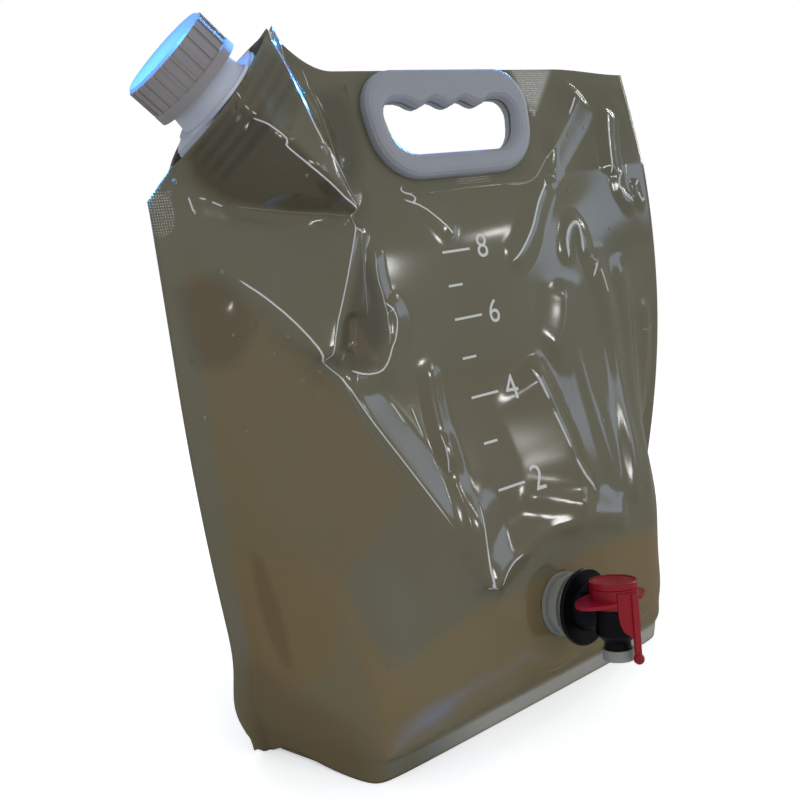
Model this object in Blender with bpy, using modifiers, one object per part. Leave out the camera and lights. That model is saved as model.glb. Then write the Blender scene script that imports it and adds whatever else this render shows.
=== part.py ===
"""Collapsible stand-up water pouch with a screw spout, a two-half carry handle and a press tap.

Units are metres, +Z up. The origin is the centre of the base footprint, and the front faces -Y.
"""

import math

import bmesh
import bpy
import numpy as np
from mathutils import Matrix, Vector

MM = 0.001

# Film, seals and gaps
FIT_GAP = 0.3 * MM
WELD_DISTANCE = 0.001 * MM
CUT_REACH = 150 * MM
CUT_DEPTH = 80 * MM
SLOT_CUT = 20 * MM
FILM_CUT = 4 * MM
OVERLAP = 1 * MM
FILM = 0.5 * MM
FILM_GAP = 0.3 * MM
SEAL_BAND = 9 * MM

# Pouch outline, on the surface that the seals lie on
POUCH_HEIGHT = 357 * MM
POUCH_HALF_WIDTH = 176 * MM
WIDEST_SHARE = 0.62
TOP_NARROWING = 5 * MM
BOTTOM_NARROWING = 21 * MM
TOP_STRIP = 60 * MM
TOP_LEAN = 22.0
SEAM_BOW = 33 * MM
SEAM_BOW_POWER = 2.8
PEAK_INSET = 86 * MM
PEAK_RUN = 26 * MM
PEAK_RISE = 24 * MM

# Pouch depth: shares of the height below the top seal, and of the full depth there
HALF_DEPTH = 61 * MM
BELLY = 14 * MM
SKIRT_HEIGHT = 12 * MM
CORNER_INSET = 60 * MM
CORNER_TOP = 58 * MM
SHOULDER_TOP = 81 * MM
NECK_DROP = 50 * MM
PEAK_ROW_DROP = 10 * MM
SLACK_PROFILE = (
    (0.08, 0.94),
    (0.14, 1.0),
    (0.32, 0.81),
    (0.455, 0.57),
    (0.555, 0.38),
    (0.65, 0.25),
    (0.77, 0.16),
    (0.915, 0.10),
    (1.0, 0.0),
)

# Bottom gusset
GUSSET_FOOT = 1.0 * MM
GUSSET_FALL_LENGTH = 0.95
GUSSET_FALL_DEPTH = 0.82
GUSSET_FALL_HEIGHT = 0.55
GUSSET_FLOOR_LENGTH = 0.82
GUSSET_FLOOR_DEPTH = 0.55
GUSSET_END_DEPTH = 0.25

# Spout, on the cut top corner
SPOUT_INSET = 46.2 * MM
SPOUT_DROP = 13.3 * MM
SPOUT_TURN = 44.5
SPOUT_SWING = 5.0
NECK_BORE = 16 * MM
NECK_RADIUS = 19.4 * MM
NECK_LENGTH = 29.4 * MM
NECK_FLARE = 1.2 * MM
NECK_FLARE_HEIGHT = 4.5 * MM
NECK_ROOT_WALL = 1.5 * MM
HOLE_STEP = 0.15 * MM
COLLAR_HALF_LENGTH = 26 * MM
COLLAR_HALF_WIDTH = 22 * MM
COLLAR_THICKNESS = 1.7 * MM
WELD_HALF_LENGTH = 36 * MM
WELD_HALF_WIDTH = 19 * MM
WELD_DEPTH = 22 * MM
WELD_RIBS = 4
WELD_RIB_HEIGHT = 0.8 * MM
WELD_RIB_WIDTH = 1.6 * MM
WELD_RIB_END = 1.5 * MM
WELD_FILM_LENGTH = 9 * MM
WELD_FILM_WIDTH = 3.5 * MM
CHANNEL_START = 16 * MM
CHANNEL_LENGTH = 55 * MM
CHANNEL_NARROWING = 0.75
THREAD_PITCH = 4 * MM
THREAD_TURNS = 2
THREAD_HEIGHT = 1.8 * MM
THREAD_WIDTH = 1.3 * MM
THREAD_LEAD = 3.2 * MM

# Screw cap
THREAD_PLAY = 1.4 * MM
CAP_HEIGHT = 21.6 * MM
CAP_WALL = 2.0 * MM
CAP_EDGE = 1.2 * MM
CAP_BAND_HEIGHT = 4.6 * MM
CAP_BAND_STEP = 0.9 * MM
CAP_RIBS = 24
CAP_RIB_HEIGHT = 0.7 * MM
CAP_RIB_WIDTH = 1.1 * MM
CAP_RIB_LENGTH = 14.8 * MM
CAP_RIB_TOP = 1.4 * MM
LINER_THICKNESS = 1.2 * MM
LINER_CLEARANCE = 0.5 * MM

# Carry handle
HANDLE_X = 13 * MM
HANDLE_DROP = 29 * MM
HANDLE_HALF_THICKNESS = 6.3 * MM
HANDLE_TOP_HALF = 62.5 * MM
HANDLE_BOTTOM_HALF = 56 * MM
HANDLE_HALF_HEIGHT = 30.5 * MM
HANDLE_TOP_CORNER = 22 * MM
HANDLE_BOTTOM_CORNER = 30 * MM
HANDLE_EDGE = 4.4 * MM
HANDLE_SIDE_CLEARANCE = 1.5 * MM
HANDLE_FLAT = 4 * MM
HANDLE_FLAT_BLEND = 8 * MM
GRIP_TOP_HALF = 50 * MM
GRIP_BOTTOM_HALF = 44 * MM
GRIP_UP = 13.5 * MM
GRIP_DOWN = 16.8 * MM
GRIP_TOP_CORNER = 9 * MM
GRIP_BOTTOM_CORNER = 17 * MM
FINGER_PITCH = 22 * MM
FINGER_BUMP = 4 * MM
FILM_HIDE = 1.2 * MM
PEG_RADIUS = 2.2 * MM
PEG_REACH = 4.5 * MM
PEG_SIDE = 4.4 * MM
PEG_SIDE_HEIGHT = 6 * MM
PEG_LOW_SPACING = 26 * MM

# Tap gland, in the film
TAP_X = 9.2 * MM
TAP_Z = 68.8 * MM
TAP_TILT = 17.0
TAP_YAW = 6.0
TAP_ROLL = 9.0
TAP_FLAT = 30 * MM
TAP_FLAT_BLEND = 18 * MM
GLAND_FLANGE = 28 * MM
GLAND_FLANGE_THICKNESS = 1.6 * MM
GLAND_RADIUS = 16 * MM
GLAND_BORE = 13.2 * MM
GLAND_LENGTH = 15.5 * MM
GLAND_HEAD = 1.4 * MM
GLAND_HEAD_HEIGHT = 2.2 * MM
GLAND_RING_HEIGHT = 2.3 * MM
GLAND_RING_WIDTH = 2.6 * MM
GLAND_RING_PITCH = 7.4 * MM

# Tap body
TAP_FLANGE = 21.5 * MM
TAP_FLANGE_THICKNESS = 2.0 * MM
TAP_FLANGE_EDGE = 0.6 * MM
BARREL_WALL = 3.2 * MM
BARREL_END = 1.5 * MM
SEAL_GROOVE = 1.3 * MM
SEAL_GROOVE_LOW = 7 * MM
SEAL_GROOVE_WIDTH = 3 * MM
KNOB_REACH = 37 * MM
ARM_RADIUS_BACK = 13.5 * MM
ARM_RADIUS_FRONT = 9.5 * MM
ARM_BORE = 4.5 * MM
ARM_BORE_DROP = 3.7 * MM
CHAMBER_RADIUS = 11.2 * MM
CHAMBER_BORE = 8.6 * MM
CHAMBER_TOP = 4.0 * MM
CHAMBER_BOTTOM = 13 * MM
CHAMBER_SHOULDER = 1.5 * MM
SEAT_CONE = 1.95 * MM
SEAT_BORE = 3.8 * MM
NOZZLE_RADIUS = 7.2 * MM
NOZZLE_BORE = 5.9 * MM
NOZZLE_END = 24.5 * MM

# Finger collar and tear-off apron
COLLAR_WALL = 1.7 * MM
COLLAR_TOP = 17.7 * MM
COLLAR_SKIRT = 2.5 * MM
COLLAR_LIP = 1.4 * MM
COLLAR_LIP_HEIGHT = 6.0 * MM
GROOVE_DROP = 3.4 * MM
GROOVE_SIZE = 0.5 * MM
WING_HEIGHT = 6.0 * MM
WING_HALF_WIDTH = 26 * MM
WING_HALF_LENGTH = 13.5 * MM
WING_BACK = 2.5 * MM
WING_THICKNESS = 2.0 * MM
WING_CLEARANCE = 2.5 * MM
APRON_TOP = 12.5 * MM
APRON_LOW = -12 * MM
APRON_HALF_ANGLE = 46.0
APRON_FOOT_ANGLE = 13.0
APRON_SIDE_CLEARANCE = 1.6
APRON_SHOULDER = 0.55
STRIP_HALF_WIDTH = 2.5 * MM
STRIP_THICKNESS = 1.4 * MM
STRIP_END = -22 * MM
BALL_RADIUS = 3.0 * MM
BALL_SINK = 1.2 * MM

# Push button, valve and dust cap
BUTTON_THICKNESS = 2.2 * MM
BUTTON_DISH = 1.3 * MM
BUTTON_DISH_PROFILE = ((0.45, 0.8), (0.8, 0.25))
BUTTON_SINK = 0.4 * MM
BUTTON_BOSS = 1.5 * MM
STEM_RADIUS = 2.0 * MM
STEM_BARB = 0.8 * MM
STEM_TIP = 1.2 * MM
PLUG_RADIUS = 4.7 * MM
PLUG_THICKNESS = 3.0 * MM
PLUG_BEVEL = 1.2 * MM
SEAT_CLEARANCE = 0.4 * MM
DOME_WALL = 1.2 * MM
DOME_RIM = 2.0 * MM
DOME_DROP = 2.2 * MM
DUST_CAP_WALL = 1.1 * MM
DUST_CAP_HEIGHT = 6.0 * MM

ROUND = 48
THREAD_STEPS = 24

# Places that follow from the sizes above
top_seal_z = POUCH_HEIGHT - TOP_STRIP
seam_bottom = POUCH_HALF_WIDTH - BOTTOM_NARROWING
seam_top = POUCH_HALF_WIDTH - TOP_NARROWING
corner_bottom = POUCH_HALF_WIDTH - CORNER_INSET
peak_x = PEAK_INSET - POUCH_HALF_WIDTH
cap_bore = NECK_RADIUS + THREAD_HEIGHT + THREAD_PLAY
cap_radius = cap_bore + CAP_WALL
collar_bore = CHAMBER_RADIUS + FIT_GAP
collar_radius = collar_bore + COLLAR_WALL
tap_left = TAP_X - TAP_FLAT
tap_right = TAP_X + TAP_FLAT

for stale in list(bpy.data.objects):
    bpy.data.objects.remove(stale, do_unlink=True)

parts = bpy.data.collections.new("water_container")
cutters = bpy.data.collections.new("cutters")
bpy.context.scene.collection.children.link(parts)
bpy.context.scene.collection.children.link(cutters)
cutters.hide_render = True


# Materials
def make_material(name, colour, roughness, alpha=1.0):
    material = bpy.data.materials.new(name)
    material.use_nodes = True
    shader = material.node_tree.nodes["Principled BSDF"]
    shader.inputs["Base Color"].default_value = (*colour, 1.0)
    shader.inputs["Roughness"].default_value = roughness
    shader.inputs["Metallic"].default_value = 0.0
    shader.inputs["Alpha"].default_value = alpha
    return material


smoky_film = make_material("smoky_film", (0.135, 0.125, 0.085), 0.15, 0.9)
grey_plastic = make_material("grey_plastic", (0.27, 0.28, 0.32), 0.45)
clear_grey_plastic = make_material("clear_grey_plastic", (0.35, 0.36, 0.33), 0.35, 0.8)
black_plastic = make_material("black_plastic", (0.004, 0.004, 0.006), 0.35)
red_plastic = make_material("red_plastic", (0.33, 0.008, 0.016), 0.35)
soft_seal = make_material("soft_seal", (0.55, 0.55, 0.52), 0.6)


# Making and joining objects
def add_object(name, data, collection=parts, material=None, frame=None):
    made = bpy.data.objects.new(name, data)
    collection.objects.link(made)
    if material is not None:
        data.materials.append(material)
    if frame is not None:
        made.parent = frame
    if collection is cutters:
        made.hide_render = True
        made.display_type = "WIRE"
    return made


def add_frame(name, matrix):
    frame = bpy.data.objects.new(name, None)
    parts.objects.link(frame)
    frame.matrix_world = matrix
    return frame


def add_solid(name, bm, smooth=True, **where):
    """Closes a bmesh into an object with its faces pointing out."""
    bmesh.ops.recalc_face_normals(bm, faces=bm.faces[:])
    mesh = bpy.data.meshes.new(name)
    bm.to_mesh(mesh)
    bm.free()
    if smooth:
        mesh.shade_smooth()
        mesh.set_sharp_from_angle(angle=math.radians(35))
    return add_object(name, mesh, **where)


def evaluated_bmesh(helper):
    """The shape that a helper's modifiers or bevel give it, with its seams welded. The helper goes."""
    cutters.objects.link(helper)
    bpy.context.view_layer.update()
    graph = bpy.context.evaluated_depsgraph_get()
    mesh = bpy.data.meshes.new_from_object(helper.evaluated_get(graph))
    bpy.data.objects.remove(helper, do_unlink=True)
    bm = bmesh.new()
    bm.from_mesh(mesh)
    bmesh.ops.remove_doubles(bm, verts=bm.verts[:], dist=WELD_DISTANCE)
    return bm


def boolean(target, other, operation):
    modifier = target.modifiers.new(f"{operation.lower()} {other.name}", "BOOLEAN")
    modifier.operation = operation
    modifier.object = other
    modifier.solver = "EXACT"


def turned(name, profile, steps=ROUND, **where):
    """A profile of (radius, height) points turned round local Z, running down its outer side.

    A profile that starts off the axis is a closed ring's section.
    """
    bm = bmesh.new()
    points = [bm.verts.new((radius, 0, height)) for radius, height in profile]
    ends = points[1:] + points[:1] if profile[0][0] > 0 else points[1:]
    for start, end in zip(points, ends):
        bm.edges.new((start, end))
    section = bpy.data.meshes.new(name + " section")
    bm.to_mesh(section)
    bm.free()
    helper = bpy.data.objects.new(name + " section", section)
    screw = helper.modifiers.new("turn", "SCREW")
    screw.steps = steps
    screw.render_steps = steps
    screw.use_merge_vertices = True
    screw.merge_threshold = WELD_DISTANCE
    return add_solid(name, evaluated_bmesh(helper), **where)


def cylinder(name, radius, low, high, steps=ROUND, centre=(0, 0), **where):
    bm = bmesh.new()
    bmesh.ops.create_cone(
        bm, cap_ends=True, segments=steps, radius1=radius, radius2=radius, depth=high - low
    )
    bmesh.ops.translate(bm, verts=bm.verts[:], vec=(*centre, (low + high) / 2))
    return add_solid(name, bm, **where)


def box(name, low, high, **where):
    bm = bmesh.new()
    bmesh.ops.create_cube(bm, size=1.0)
    bmesh.ops.scale(bm, verts=bm.verts[:], vec=Vector(high) - Vector(low))
    bmesh.ops.translate(bm, verts=bm.verts[:], vec=(Vector(high) + Vector(low)) / 2)
    return add_solid(name, bm, smooth=False, **where)


def plate(name, outlines, low, high, edge=0.0, **where):
    """Flat outlines in the local XY plane, the first one solid and the rest holes, from low to high in Z."""
    curve = bpy.data.curves.new(name, "CURVE")
    curve.dimensions = "2D"
    curve.fill_mode = "BOTH"
    curve.extrude = (high - low) / 2 - edge
    curve.bevel_depth = edge
    curve.bevel_resolution = 2
    curve.offset = -edge
    for outline in outlines:
        spline = curve.splines.new("POLY")
        spline.points.add(len(outline) - 1)
        for point, (x, y) in zip(spline.points, outline):
            point.co = (x, y, 0, 1)
        spline.use_cyclic_u = True
    bm = evaluated_bmesh(bpy.data.objects.new(name + " outline", curve))
    bmesh.ops.translate(bm, verts=bm.verts[:], vec=(0, 0, (high + low) / 2))
    return add_solid(name, bm, **where)


# Outlines
def corner_arcs(corners, steps=5):
    """One arc for each (x, y, radius) corner of a polygon that is listed anticlockwise."""
    arcs = []
    count = len(corners)
    for index, (x, y, radius) in enumerate(corners):
        here = Vector((x, y))
        before = (Vector(corners[index - 1][:2]) - here).normalized()
        after = (Vector(corners[(index + 1) % count][:2]) - here).normalized()
        half = before.angle(after) / 2
        centre = here + (before + after).normalized() * radius / math.sin(half)
        start = here + before * radius / math.tan(half) - centre
        sweep = math.pi - 2 * half
        turns = [Matrix.Rotation(sweep * step / steps, 2) for step in range(steps + 1)]
        arcs.append([tuple(centre + turn @ start) for turn in turns])
    return arcs


def rounded(corners, steps=5):
    return [point for arc in corner_arcs(corners, steps) for point in arc]


def grip_corners(grow=0.0):
    """The hand opening's corners. grow moves its edge outwards."""
    return [
        (-GRIP_BOTTOM_HALF - grow, -GRIP_DOWN - grow, GRIP_BOTTOM_CORNER),
        (GRIP_BOTTOM_HALF + grow, -GRIP_DOWN - grow, GRIP_BOTTOM_CORNER),
        (GRIP_TOP_HALF + grow, GRIP_UP + grow, GRIP_TOP_CORNER),
        (-GRIP_TOP_HALF - grow, GRIP_UP + grow, GRIP_TOP_CORNER),
    ]


def grip_outline():
    """The hand opening, with three finger bumps hanging from its top edge."""
    bottom_left, bottom_right, top_right, top_left = corner_arcs(grip_corners())
    reach = 1.5 * FINGER_PITCH
    bumps = []
    for x in np.linspace(reach, -reach, 19):
        drop = FINGER_BUMP * (1 + math.cos(2 * math.pi * x / FINGER_PITCH)) / 2
        bumps.append((float(x), GRIP_UP - drop))
    return bottom_left + bottom_right + top_right + bumps + top_left


def lens(half_length, half_width, steps=12):
    """Two equal arcs that meet at pointed ends, along X."""
    radius = (half_length**2 + half_width**2) / (2 * half_width)
    upper = []
    for step in range(steps + 1):
        x = half_length * (1 - 2 * step / steps)
        upper.append((x, math.sqrt(radius**2 - x**2) - radius + half_width))
    lower = [(-x, -y) for x, y in upper[1:-1]]
    return upper + lower


def ellipse(half_length, half_width, steps=32):
    turn = 2 * math.pi / steps
    return [(half_length * math.cos(turn * i), half_width * math.sin(turn * i)) for i in range(steps)]


def spread(start, end, count):
    """Evenly spaced values from after start up to end."""
    return [start + (end - start) * (index + 1) / count for index in range(count)]


# Pouch shape. The side seams lie on a bowed surface that leans back at the top,
# and each panel stands in front of or behind it by the panel depth.
def seam_y(z):
    """Where the side seams and the top seal lie, front to back."""
    if z >= top_seal_z:
        return SEAM_BOW + (z - top_seal_z) * math.tan(math.radians(TOP_LEAN))
    return SEAM_BOW * (max(z, 0) / top_seal_z) ** SEAM_BOW_POWER


def seam_x(z):
    widest_z = WIDEST_SHARE * POUCH_HEIGHT
    if z <= widest_z:
        share = math.sin(math.pi / 2 * max(z - SKIRT_HEIGHT, 0) / (widest_z - SKIRT_HEIGHT))
        return seam_bottom + (POUCH_HALF_WIDTH - seam_bottom) * share
    share = (z - widest_z) / (POUCH_HEIGHT - widest_z)
    return POUCH_HALF_WIDTH + (seam_top - POUCH_HALF_WIDTH) * share**2


def corner_x(z):
    """How far out the full depth reaches before the panel slopes in to its side seal."""
    share = min(max(z - SKIRT_HEIGHT, 0) / (top_seal_z - SKIRT_HEIGHT), 1)
    return corner_bottom + (CORNER_TOP - corner_bottom) * share


def middle_depth(z):
    """Half depth of the pouch at its middle: full below the tap, slack above, closed at the top seal."""
    full = HALF_DEPTH + BELLY
    heights = [0, SKIRT_HEIGHT] + [share * top_seal_z for share, _ in SLACK_PROFILE]
    depths = [HALF_DEPTH, HALF_DEPTH] + [share * full for _, share in SLACK_PROFILE]
    return float(np.interp(z, heights, depths))


def panel_depth(x, z):
    """Distance from the seam surface to either panel's inner face, less half the gap between films."""
    outer = seam_x(z) - SEAL_BAND
    inner = corner_x(z)
    share = min(max((outer - abs(x)) / (outer - inner), 0), 1)
    return middle_depth(z) * share


def column_positions(z):
    """The panel's grid columns at a height, from the left seam to the right seam."""
    side = seam_x(z)
    seal = side - SEAL_BAND
    seal_bottom = seam_bottom - SEAL_BAND
    beside_handle = HANDLE_X - HANDLE_TOP_HALF - HANDLE_SIDE_CLEARANCE
    low = [-side, -seal]
    low += spread(-seal_bottom, -corner_bottom, 5)
    low += spread(-corner_bottom, tap_left, 5)
    low += [tap_right]
    low += spread(tap_right, corner_bottom, 2)
    low += [*spread(corner_bottom, seal_bottom, 2)[:1], seal, side]
    high = [-side, -seal]
    high += spread(-seal, peak_x, 7)
    high += spread(peak_x, beside_handle, 2)
    high += [tap_left, tap_right]
    high += spread(tap_right, SHOULDER_TOP, 2)
    high += spread(SHOULDER_TOP, seal, 2)
    high += [side]
    share = max(z - SKIRT_HEIGHT, 0) / (POUCH_HEIGHT - SKIRT_HEIGHT)
    return [a + (b - a) * share for a, b in zip(low, high)]


def row_heights():
    """The panel's grid rows, each as its height on the level part and the share of the peak it takes."""
    flat = TAP_FLAT * math.cos(tilt)
    neck_low = top_seal_z - NECK_DROP
    strip_top = POUCH_HEIGHT - PEAK_ROW_DROP
    level = [0, SKIRT_HEIGHT, TAP_Z - flat - TAP_FLAT_BLEND, TAP_Z - flat, TAP_Z + flat]
    level += spread(TAP_Z + flat, neck_low, 5)
    level += spread(neck_low, top_seal_z, 3)
    level += spread(top_seal_z, strip_top, 5)
    return [(z, 0.0) for z in level] + [((strip_top + POUCH_HEIGHT) / 2, 0.5), (POUCH_HEIGHT, 1.0)]


def peak_rise(x):
    """How far the top edge stands above its level part, towards the peak beside the spout."""
    return PEAK_RISE * min(max((peak_x + PEAK_RUN - x) / PEAK_RUN, 0), 1)


# Frames that the spout, the handle and the tap are built in
lean = math.radians(TOP_LEAN)
across = Vector((1, 0, 0))
up_panel = Vector((0, math.sin(lean), math.cos(lean)))
panel_front = Vector((0, -math.cos(lean), math.sin(lean)))


def frame_matrix(x_axis, y_axis, z_axis, origin):
    turn = Matrix((x_axis, y_axis, z_axis)).transposed().to_4x4()
    return Matrix.Translation(origin) @ turn


spout_turn = math.radians(SPOUT_TURN)
spout_swing = math.radians(SPOUT_SWING)
spout_in_plane = -math.sin(spout_turn) * across + math.cos(spout_turn) * up_panel
spout_axis = math.cos(spout_swing) * spout_in_plane + math.sin(spout_swing) * panel_front
cut_line = math.cos(spout_turn) * across + math.sin(spout_turn) * up_panel
spout_z = POUCH_HEIGHT - SPOUT_DROP
spout_origin = Vector((SPOUT_INSET - POUCH_HALF_WIDTH, seam_y(spout_z), spout_z))
spout = add_frame("spout_frame", frame_matrix(cut_line, spout_axis.cross(cut_line), spout_axis, spout_origin))

handle_z = POUCH_HEIGHT - HANDLE_DROP
handle_origin = Vector((HANDLE_X, seam_y(handle_z), handle_z))
handle = add_frame("handle_frame", frame_matrix(across, up_panel, panel_front, handle_origin))

yaw = math.radians(TAP_YAW)
tilt = math.radians(TAP_TILT)
roll = math.radians(TAP_ROLL)
tap_out = Vector((math.sin(yaw) * math.cos(tilt), -math.cos(yaw) * math.cos(tilt), math.sin(tilt)))
level_up = Vector((-math.sin(yaw) * math.sin(tilt), math.cos(yaw) * math.sin(tilt), math.cos(tilt)))
tap_up = math.cos(roll) * level_up + math.sin(roll) * level_up.cross(tap_out)
tap_side = tap_up.cross(tap_out)
tap_inside = Vector((TAP_X, seam_y(TAP_Z) - middle_depth(TAP_Z) - FILM_GAP / 2, TAP_Z))
tap_origin = tap_inside + FILM * tap_out
tap = add_frame("tap_frame", frame_matrix(tap_side, tap_up, tap_out, tap_origin))
# The knob frame stands on the chamber's axis, with local Z up along that axis.
knob_origin = tap_origin + KNOB_REACH * tap_out
knob = add_frame("knob_frame", frame_matrix(tap_side, -tap_out, tap_up, knob_origin))


# Film panels
def weld_bulge(point, side):
    """How far a film stands out round the spout's weld base and the channel that leads down from it."""
    local = spout.matrix_world.inverted() @ point
    share = min(max(-local.z - WELD_DEPTH - CHANNEL_START, 0) / CHANNEL_LENGTH, 1)
    half_length = (WELD_HALF_LENGTH + WELD_FILM_LENGTH) * (1 - CHANNEL_NARROWING * share)
    half_width = (WELD_HALF_WIDTH + WELD_FILM_WIDTH) * (1 - share)
    if abs(local.x) >= half_length or half_width < FILM:
        return 0.0
    radius = (half_length**2 + half_width**2) / (2 * half_width)
    arc = math.sqrt(radius**2 - local.x**2) - radius + half_width
    # The weld base stands at its own slight angle to the seam surface.
    return arc - side * local.y * arc / half_width


def beside_handle(point):
    """0 where both films lie flat between the handle's halves, and 1 further off."""
    local = handle.matrix_world.inverted() @ point
    off = max(abs(local.x) - HANDLE_TOP_HALF, abs(local.y) - HANDLE_HALF_HEIGHT) - HANDLE_FLAT
    return min(max(off / HANDLE_FLAT_BLEND, 0), 1)


def flattened_at_tap(x, y, z):
    """Puts the grid points round the tap on the tap's own plane."""
    flat = TAP_FLAT * math.cos(tilt)
    if abs(x - TAP_X) > TAP_FLAT + WELD_DISTANCE or abs(z - TAP_Z) > flat + WELD_DISTANCE:
        return y
    offset = (x - tap_inside.x) * tap_out.x + (z - tap_inside.z) * tap_out.z
    return tap_inside.y - offset / tap_out.y


corner_cutter = box(
    "corner_cutter",
    (-CUT_REACH, -CUT_DEPTH, 0),
    (CUT_REACH, CUT_DEPTH, CUT_DEPTH),
    collection=cutters,
    frame=spout,
)
slot_cutter = plate(
    "slot_cutter", [rounded(grip_corners(FILM_HIDE))], -SLOT_CUT, SLOT_CUT, collection=cutters, frame=handle
)
side_peg = GRIP_TOP_HALF + PEG_SIDE
low_peg = -(GRIP_DOWN + HANDLE_HALF_HEIGHT) / 2
high_peg = (GRIP_UP + HANDLE_HALF_HEIGHT) / 2
peg_centres = [
    (-side_peg, PEG_SIDE_HEIGHT),
    (side_peg, PEG_SIDE_HEIGHT),
    (-PEG_LOW_SPACING, low_peg),
    (PEG_LOW_SPACING, low_peg),
    (-FINGER_PITCH, high_peg),
    (FINGER_PITCH, high_peg),
]


def at_pegs(name, radius, low, high):
    """A small cylinder at each of the handle's pegs."""
    made = []
    for index, centre in enumerate(peg_centres):
        made.append(
            cylinder(
                f"{name}_{index}",
                radius,
                low,
                high,
                steps=16,
                centre=centre,
                collection=cutters,
                frame=handle,
            )
        )
    return made


peg_holes = at_pegs("peg_hole", PEG_RADIUS + FIT_GAP, -FILM_CUT, FILM_CUT)


def panel(name, side):
    """side is -1 for the front and +1 for the back."""
    rows = row_heights()
    columns = len(column_positions(0))
    bm = bmesh.new()
    bmesh.ops.create_grid(bm, x_segments=columns - 1, y_segments=len(rows) - 1, size=0.5)
    for vert in bm.verts:
        level, peak_share = rows[round((vert.co.y + 0.5) * (len(rows) - 1))]
        x = column_positions(level)[round((vert.co.x + 0.5) * (columns - 1))]
        z = level + peak_share * peak_rise(x)
        middle = Vector((x, seam_y(z), z))
        depth = max(panel_depth(x, level), weld_bulge(middle, side) * beside_handle(middle))
        y = middle.y + side * (depth + FILM_GAP / 2)
        if side < 0:
            y = flattened_at_tap(x, y, z)
        vert.co = (x, y, z)
    bmesh.ops.recalc_face_normals(bm, faces=bm.faces[:])
    outward = sum(face.normal.y * face.calc_area() for face in bm.faces)
    if outward * side < 0:
        bmesh.ops.reverse_faces(bm, faces=bm.faces[:])
    mesh = bpy.data.meshes.new(name)
    bm.to_mesh(mesh)
    bm.free()
    mesh.shade_smooth()
    made = add_object(name, mesh, material=smoky_film)
    wall = made.modifiers.new("film thickness", "SOLIDIFY")
    wall.thickness = FILM
    wall.offset = 1.0
    wall.use_even_offset = True
    boolean(made, corner_cutter, "DIFFERENCE")
    boolean(made, slot_cutter, "DIFFERENCE")
    for peg_hole in peg_holes:
        boolean(made, peg_hole, "DIFFERENCE")
    return made


front_panel = panel("front_panel", -1)
back_panel = panel("back_panel", 1)
tap_hole = cylinder(
    "tap_hole", GLAND_RADIUS + FIT_GAP, -FILM_CUT, FILM_CUT, collection=cutters, frame=tap
)
boolean(front_panel, tap_hole, "DIFFERENCE")


# Bottom gusset: a flange inside the skirt, then a floor that sags to the ground
def skirt_outline():
    """The inside of both panels at the skirt, pulled in by the fit gap, without the pointed ends."""
    gap = FIT_GAP + FILM
    front = []
    for x in column_positions(0):
        depth = panel_depth(x, 0)
        if depth > GUSSET_END_DEPTH * HALF_DEPTH:
            slope = abs(x) > corner_bottom
            front.append((x - math.copysign(2 * gap, x) * slope, -depth + gap))
    return front + [(x, -y) for x, y in reversed(front)]


gusset_ring = skirt_outline()
gusset_levels = [
    (1.0, 1.0, GUSSET_FOOT),
    (1.0, 1.0, SKIRT_HEIGHT),
    (GUSSET_FALL_LENGTH, GUSSET_FALL_DEPTH, SKIRT_HEIGHT * GUSSET_FALL_HEIGHT),
    (GUSSET_FLOOR_LENGTH, GUSSET_FLOOR_DEPTH, FILM),
]
bm = bmesh.new()
loops = []
for along, deep, height in gusset_levels:
    loops.append([bm.verts.new((x * along, y * deep, height)) for x, y in gusset_ring])
for lower, upper in zip(loops, loops[1:]):
    for index in range(len(gusset_ring)):
        bm.faces.new((lower[index - 1], lower[index], upper[index], upper[index - 1]))
bm.faces.new(loops[-1])
bmesh.ops.recalc_face_normals(bm, faces=bm.faces[:])
if sum(face.normal.z * face.calc_area() for face in bm.faces) < 0:
    bmesh.ops.reverse_faces(bm, faces=bm.faces[:])
gusset_mesh = bpy.data.meshes.new("bottom_gusset")
bm.to_mesh(gusset_mesh)
bm.free()
bottom_gusset = add_object("bottom_gusset", gusset_mesh, material=smoky_film)
wall = bottom_gusset.modifiers.new("film thickness", "SOLIDIFY")
wall.thickness = FILM
wall.offset = -1.0
wall.use_even_offset = True


# Screw thread, shared by the neck and the cap
def thread(name, radius, outward, start, **where):
    """A helical ridge with a tapered section, outward for the neck and inward for the cap."""
    tip = radius + outward * THREAD_HEIGHT
    root = radius - outward * OVERLAP / 2
    half = THREAD_WIDTH / 2
    section = [(root, -half), (tip, -half / 2), (tip, half / 2), (root, half)]
    bm = bmesh.new()
    bm.faces.new([bm.verts.new((r, 0, start + z)) for r, z in section])
    bmesh.ops.spin(
        bm,
        geom=bm.verts[:] + bm.edges[:] + bm.faces[:],
        cent=(0, 0, 0),
        axis=(0, 0, 1),
        dvec=(0, 0, THREAD_PITCH / THREAD_STEPS),
        angle=2 * math.pi * THREAD_TURNS,
        steps=THREAD_STEPS * THREAD_TURNS,
    )
    return add_solid(name, bm, **where)


# Spout: threaded neck, oval collar at the film edge, and the weld base between the films
neck_start = NECK_LENGTH - THREAD_PITCH * THREAD_TURNS - THREAD_LEAD
cap_low = NECK_LENGTH + LINER_THICKNESS + 2 * FIT_GAP + CAP_WALL - CAP_HEIGHT
collar_high = FIT_GAP + COLLAR_THICKNESS
neck_side = COLLAR_HALF_WIDTH - OVERLAP / 2
neck_root = NECK_BORE + NECK_ROOT_WALL
root_end = 3 * OVERLAP - WELD_DEPTH
spout_neck = turned(
    "spout_neck",
    [
        (NECK_BORE, NECK_LENGTH),
        (NECK_RADIUS, NECK_LENGTH),
        (NECK_RADIUS, cap_low),
        (NECK_RADIUS + NECK_FLARE, NECK_FLARE_HEIGHT),
        (neck_side, collar_high),
        (neck_side, OVERLAP),
        (neck_root, OVERLAP),
        (neck_root, root_end),
        (NECK_BORE, root_end),
    ],
    material=grey_plastic,
    frame=spout,
)
core_hole = NECK_BORE + NECK_ROOT_WALL / 2
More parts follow.
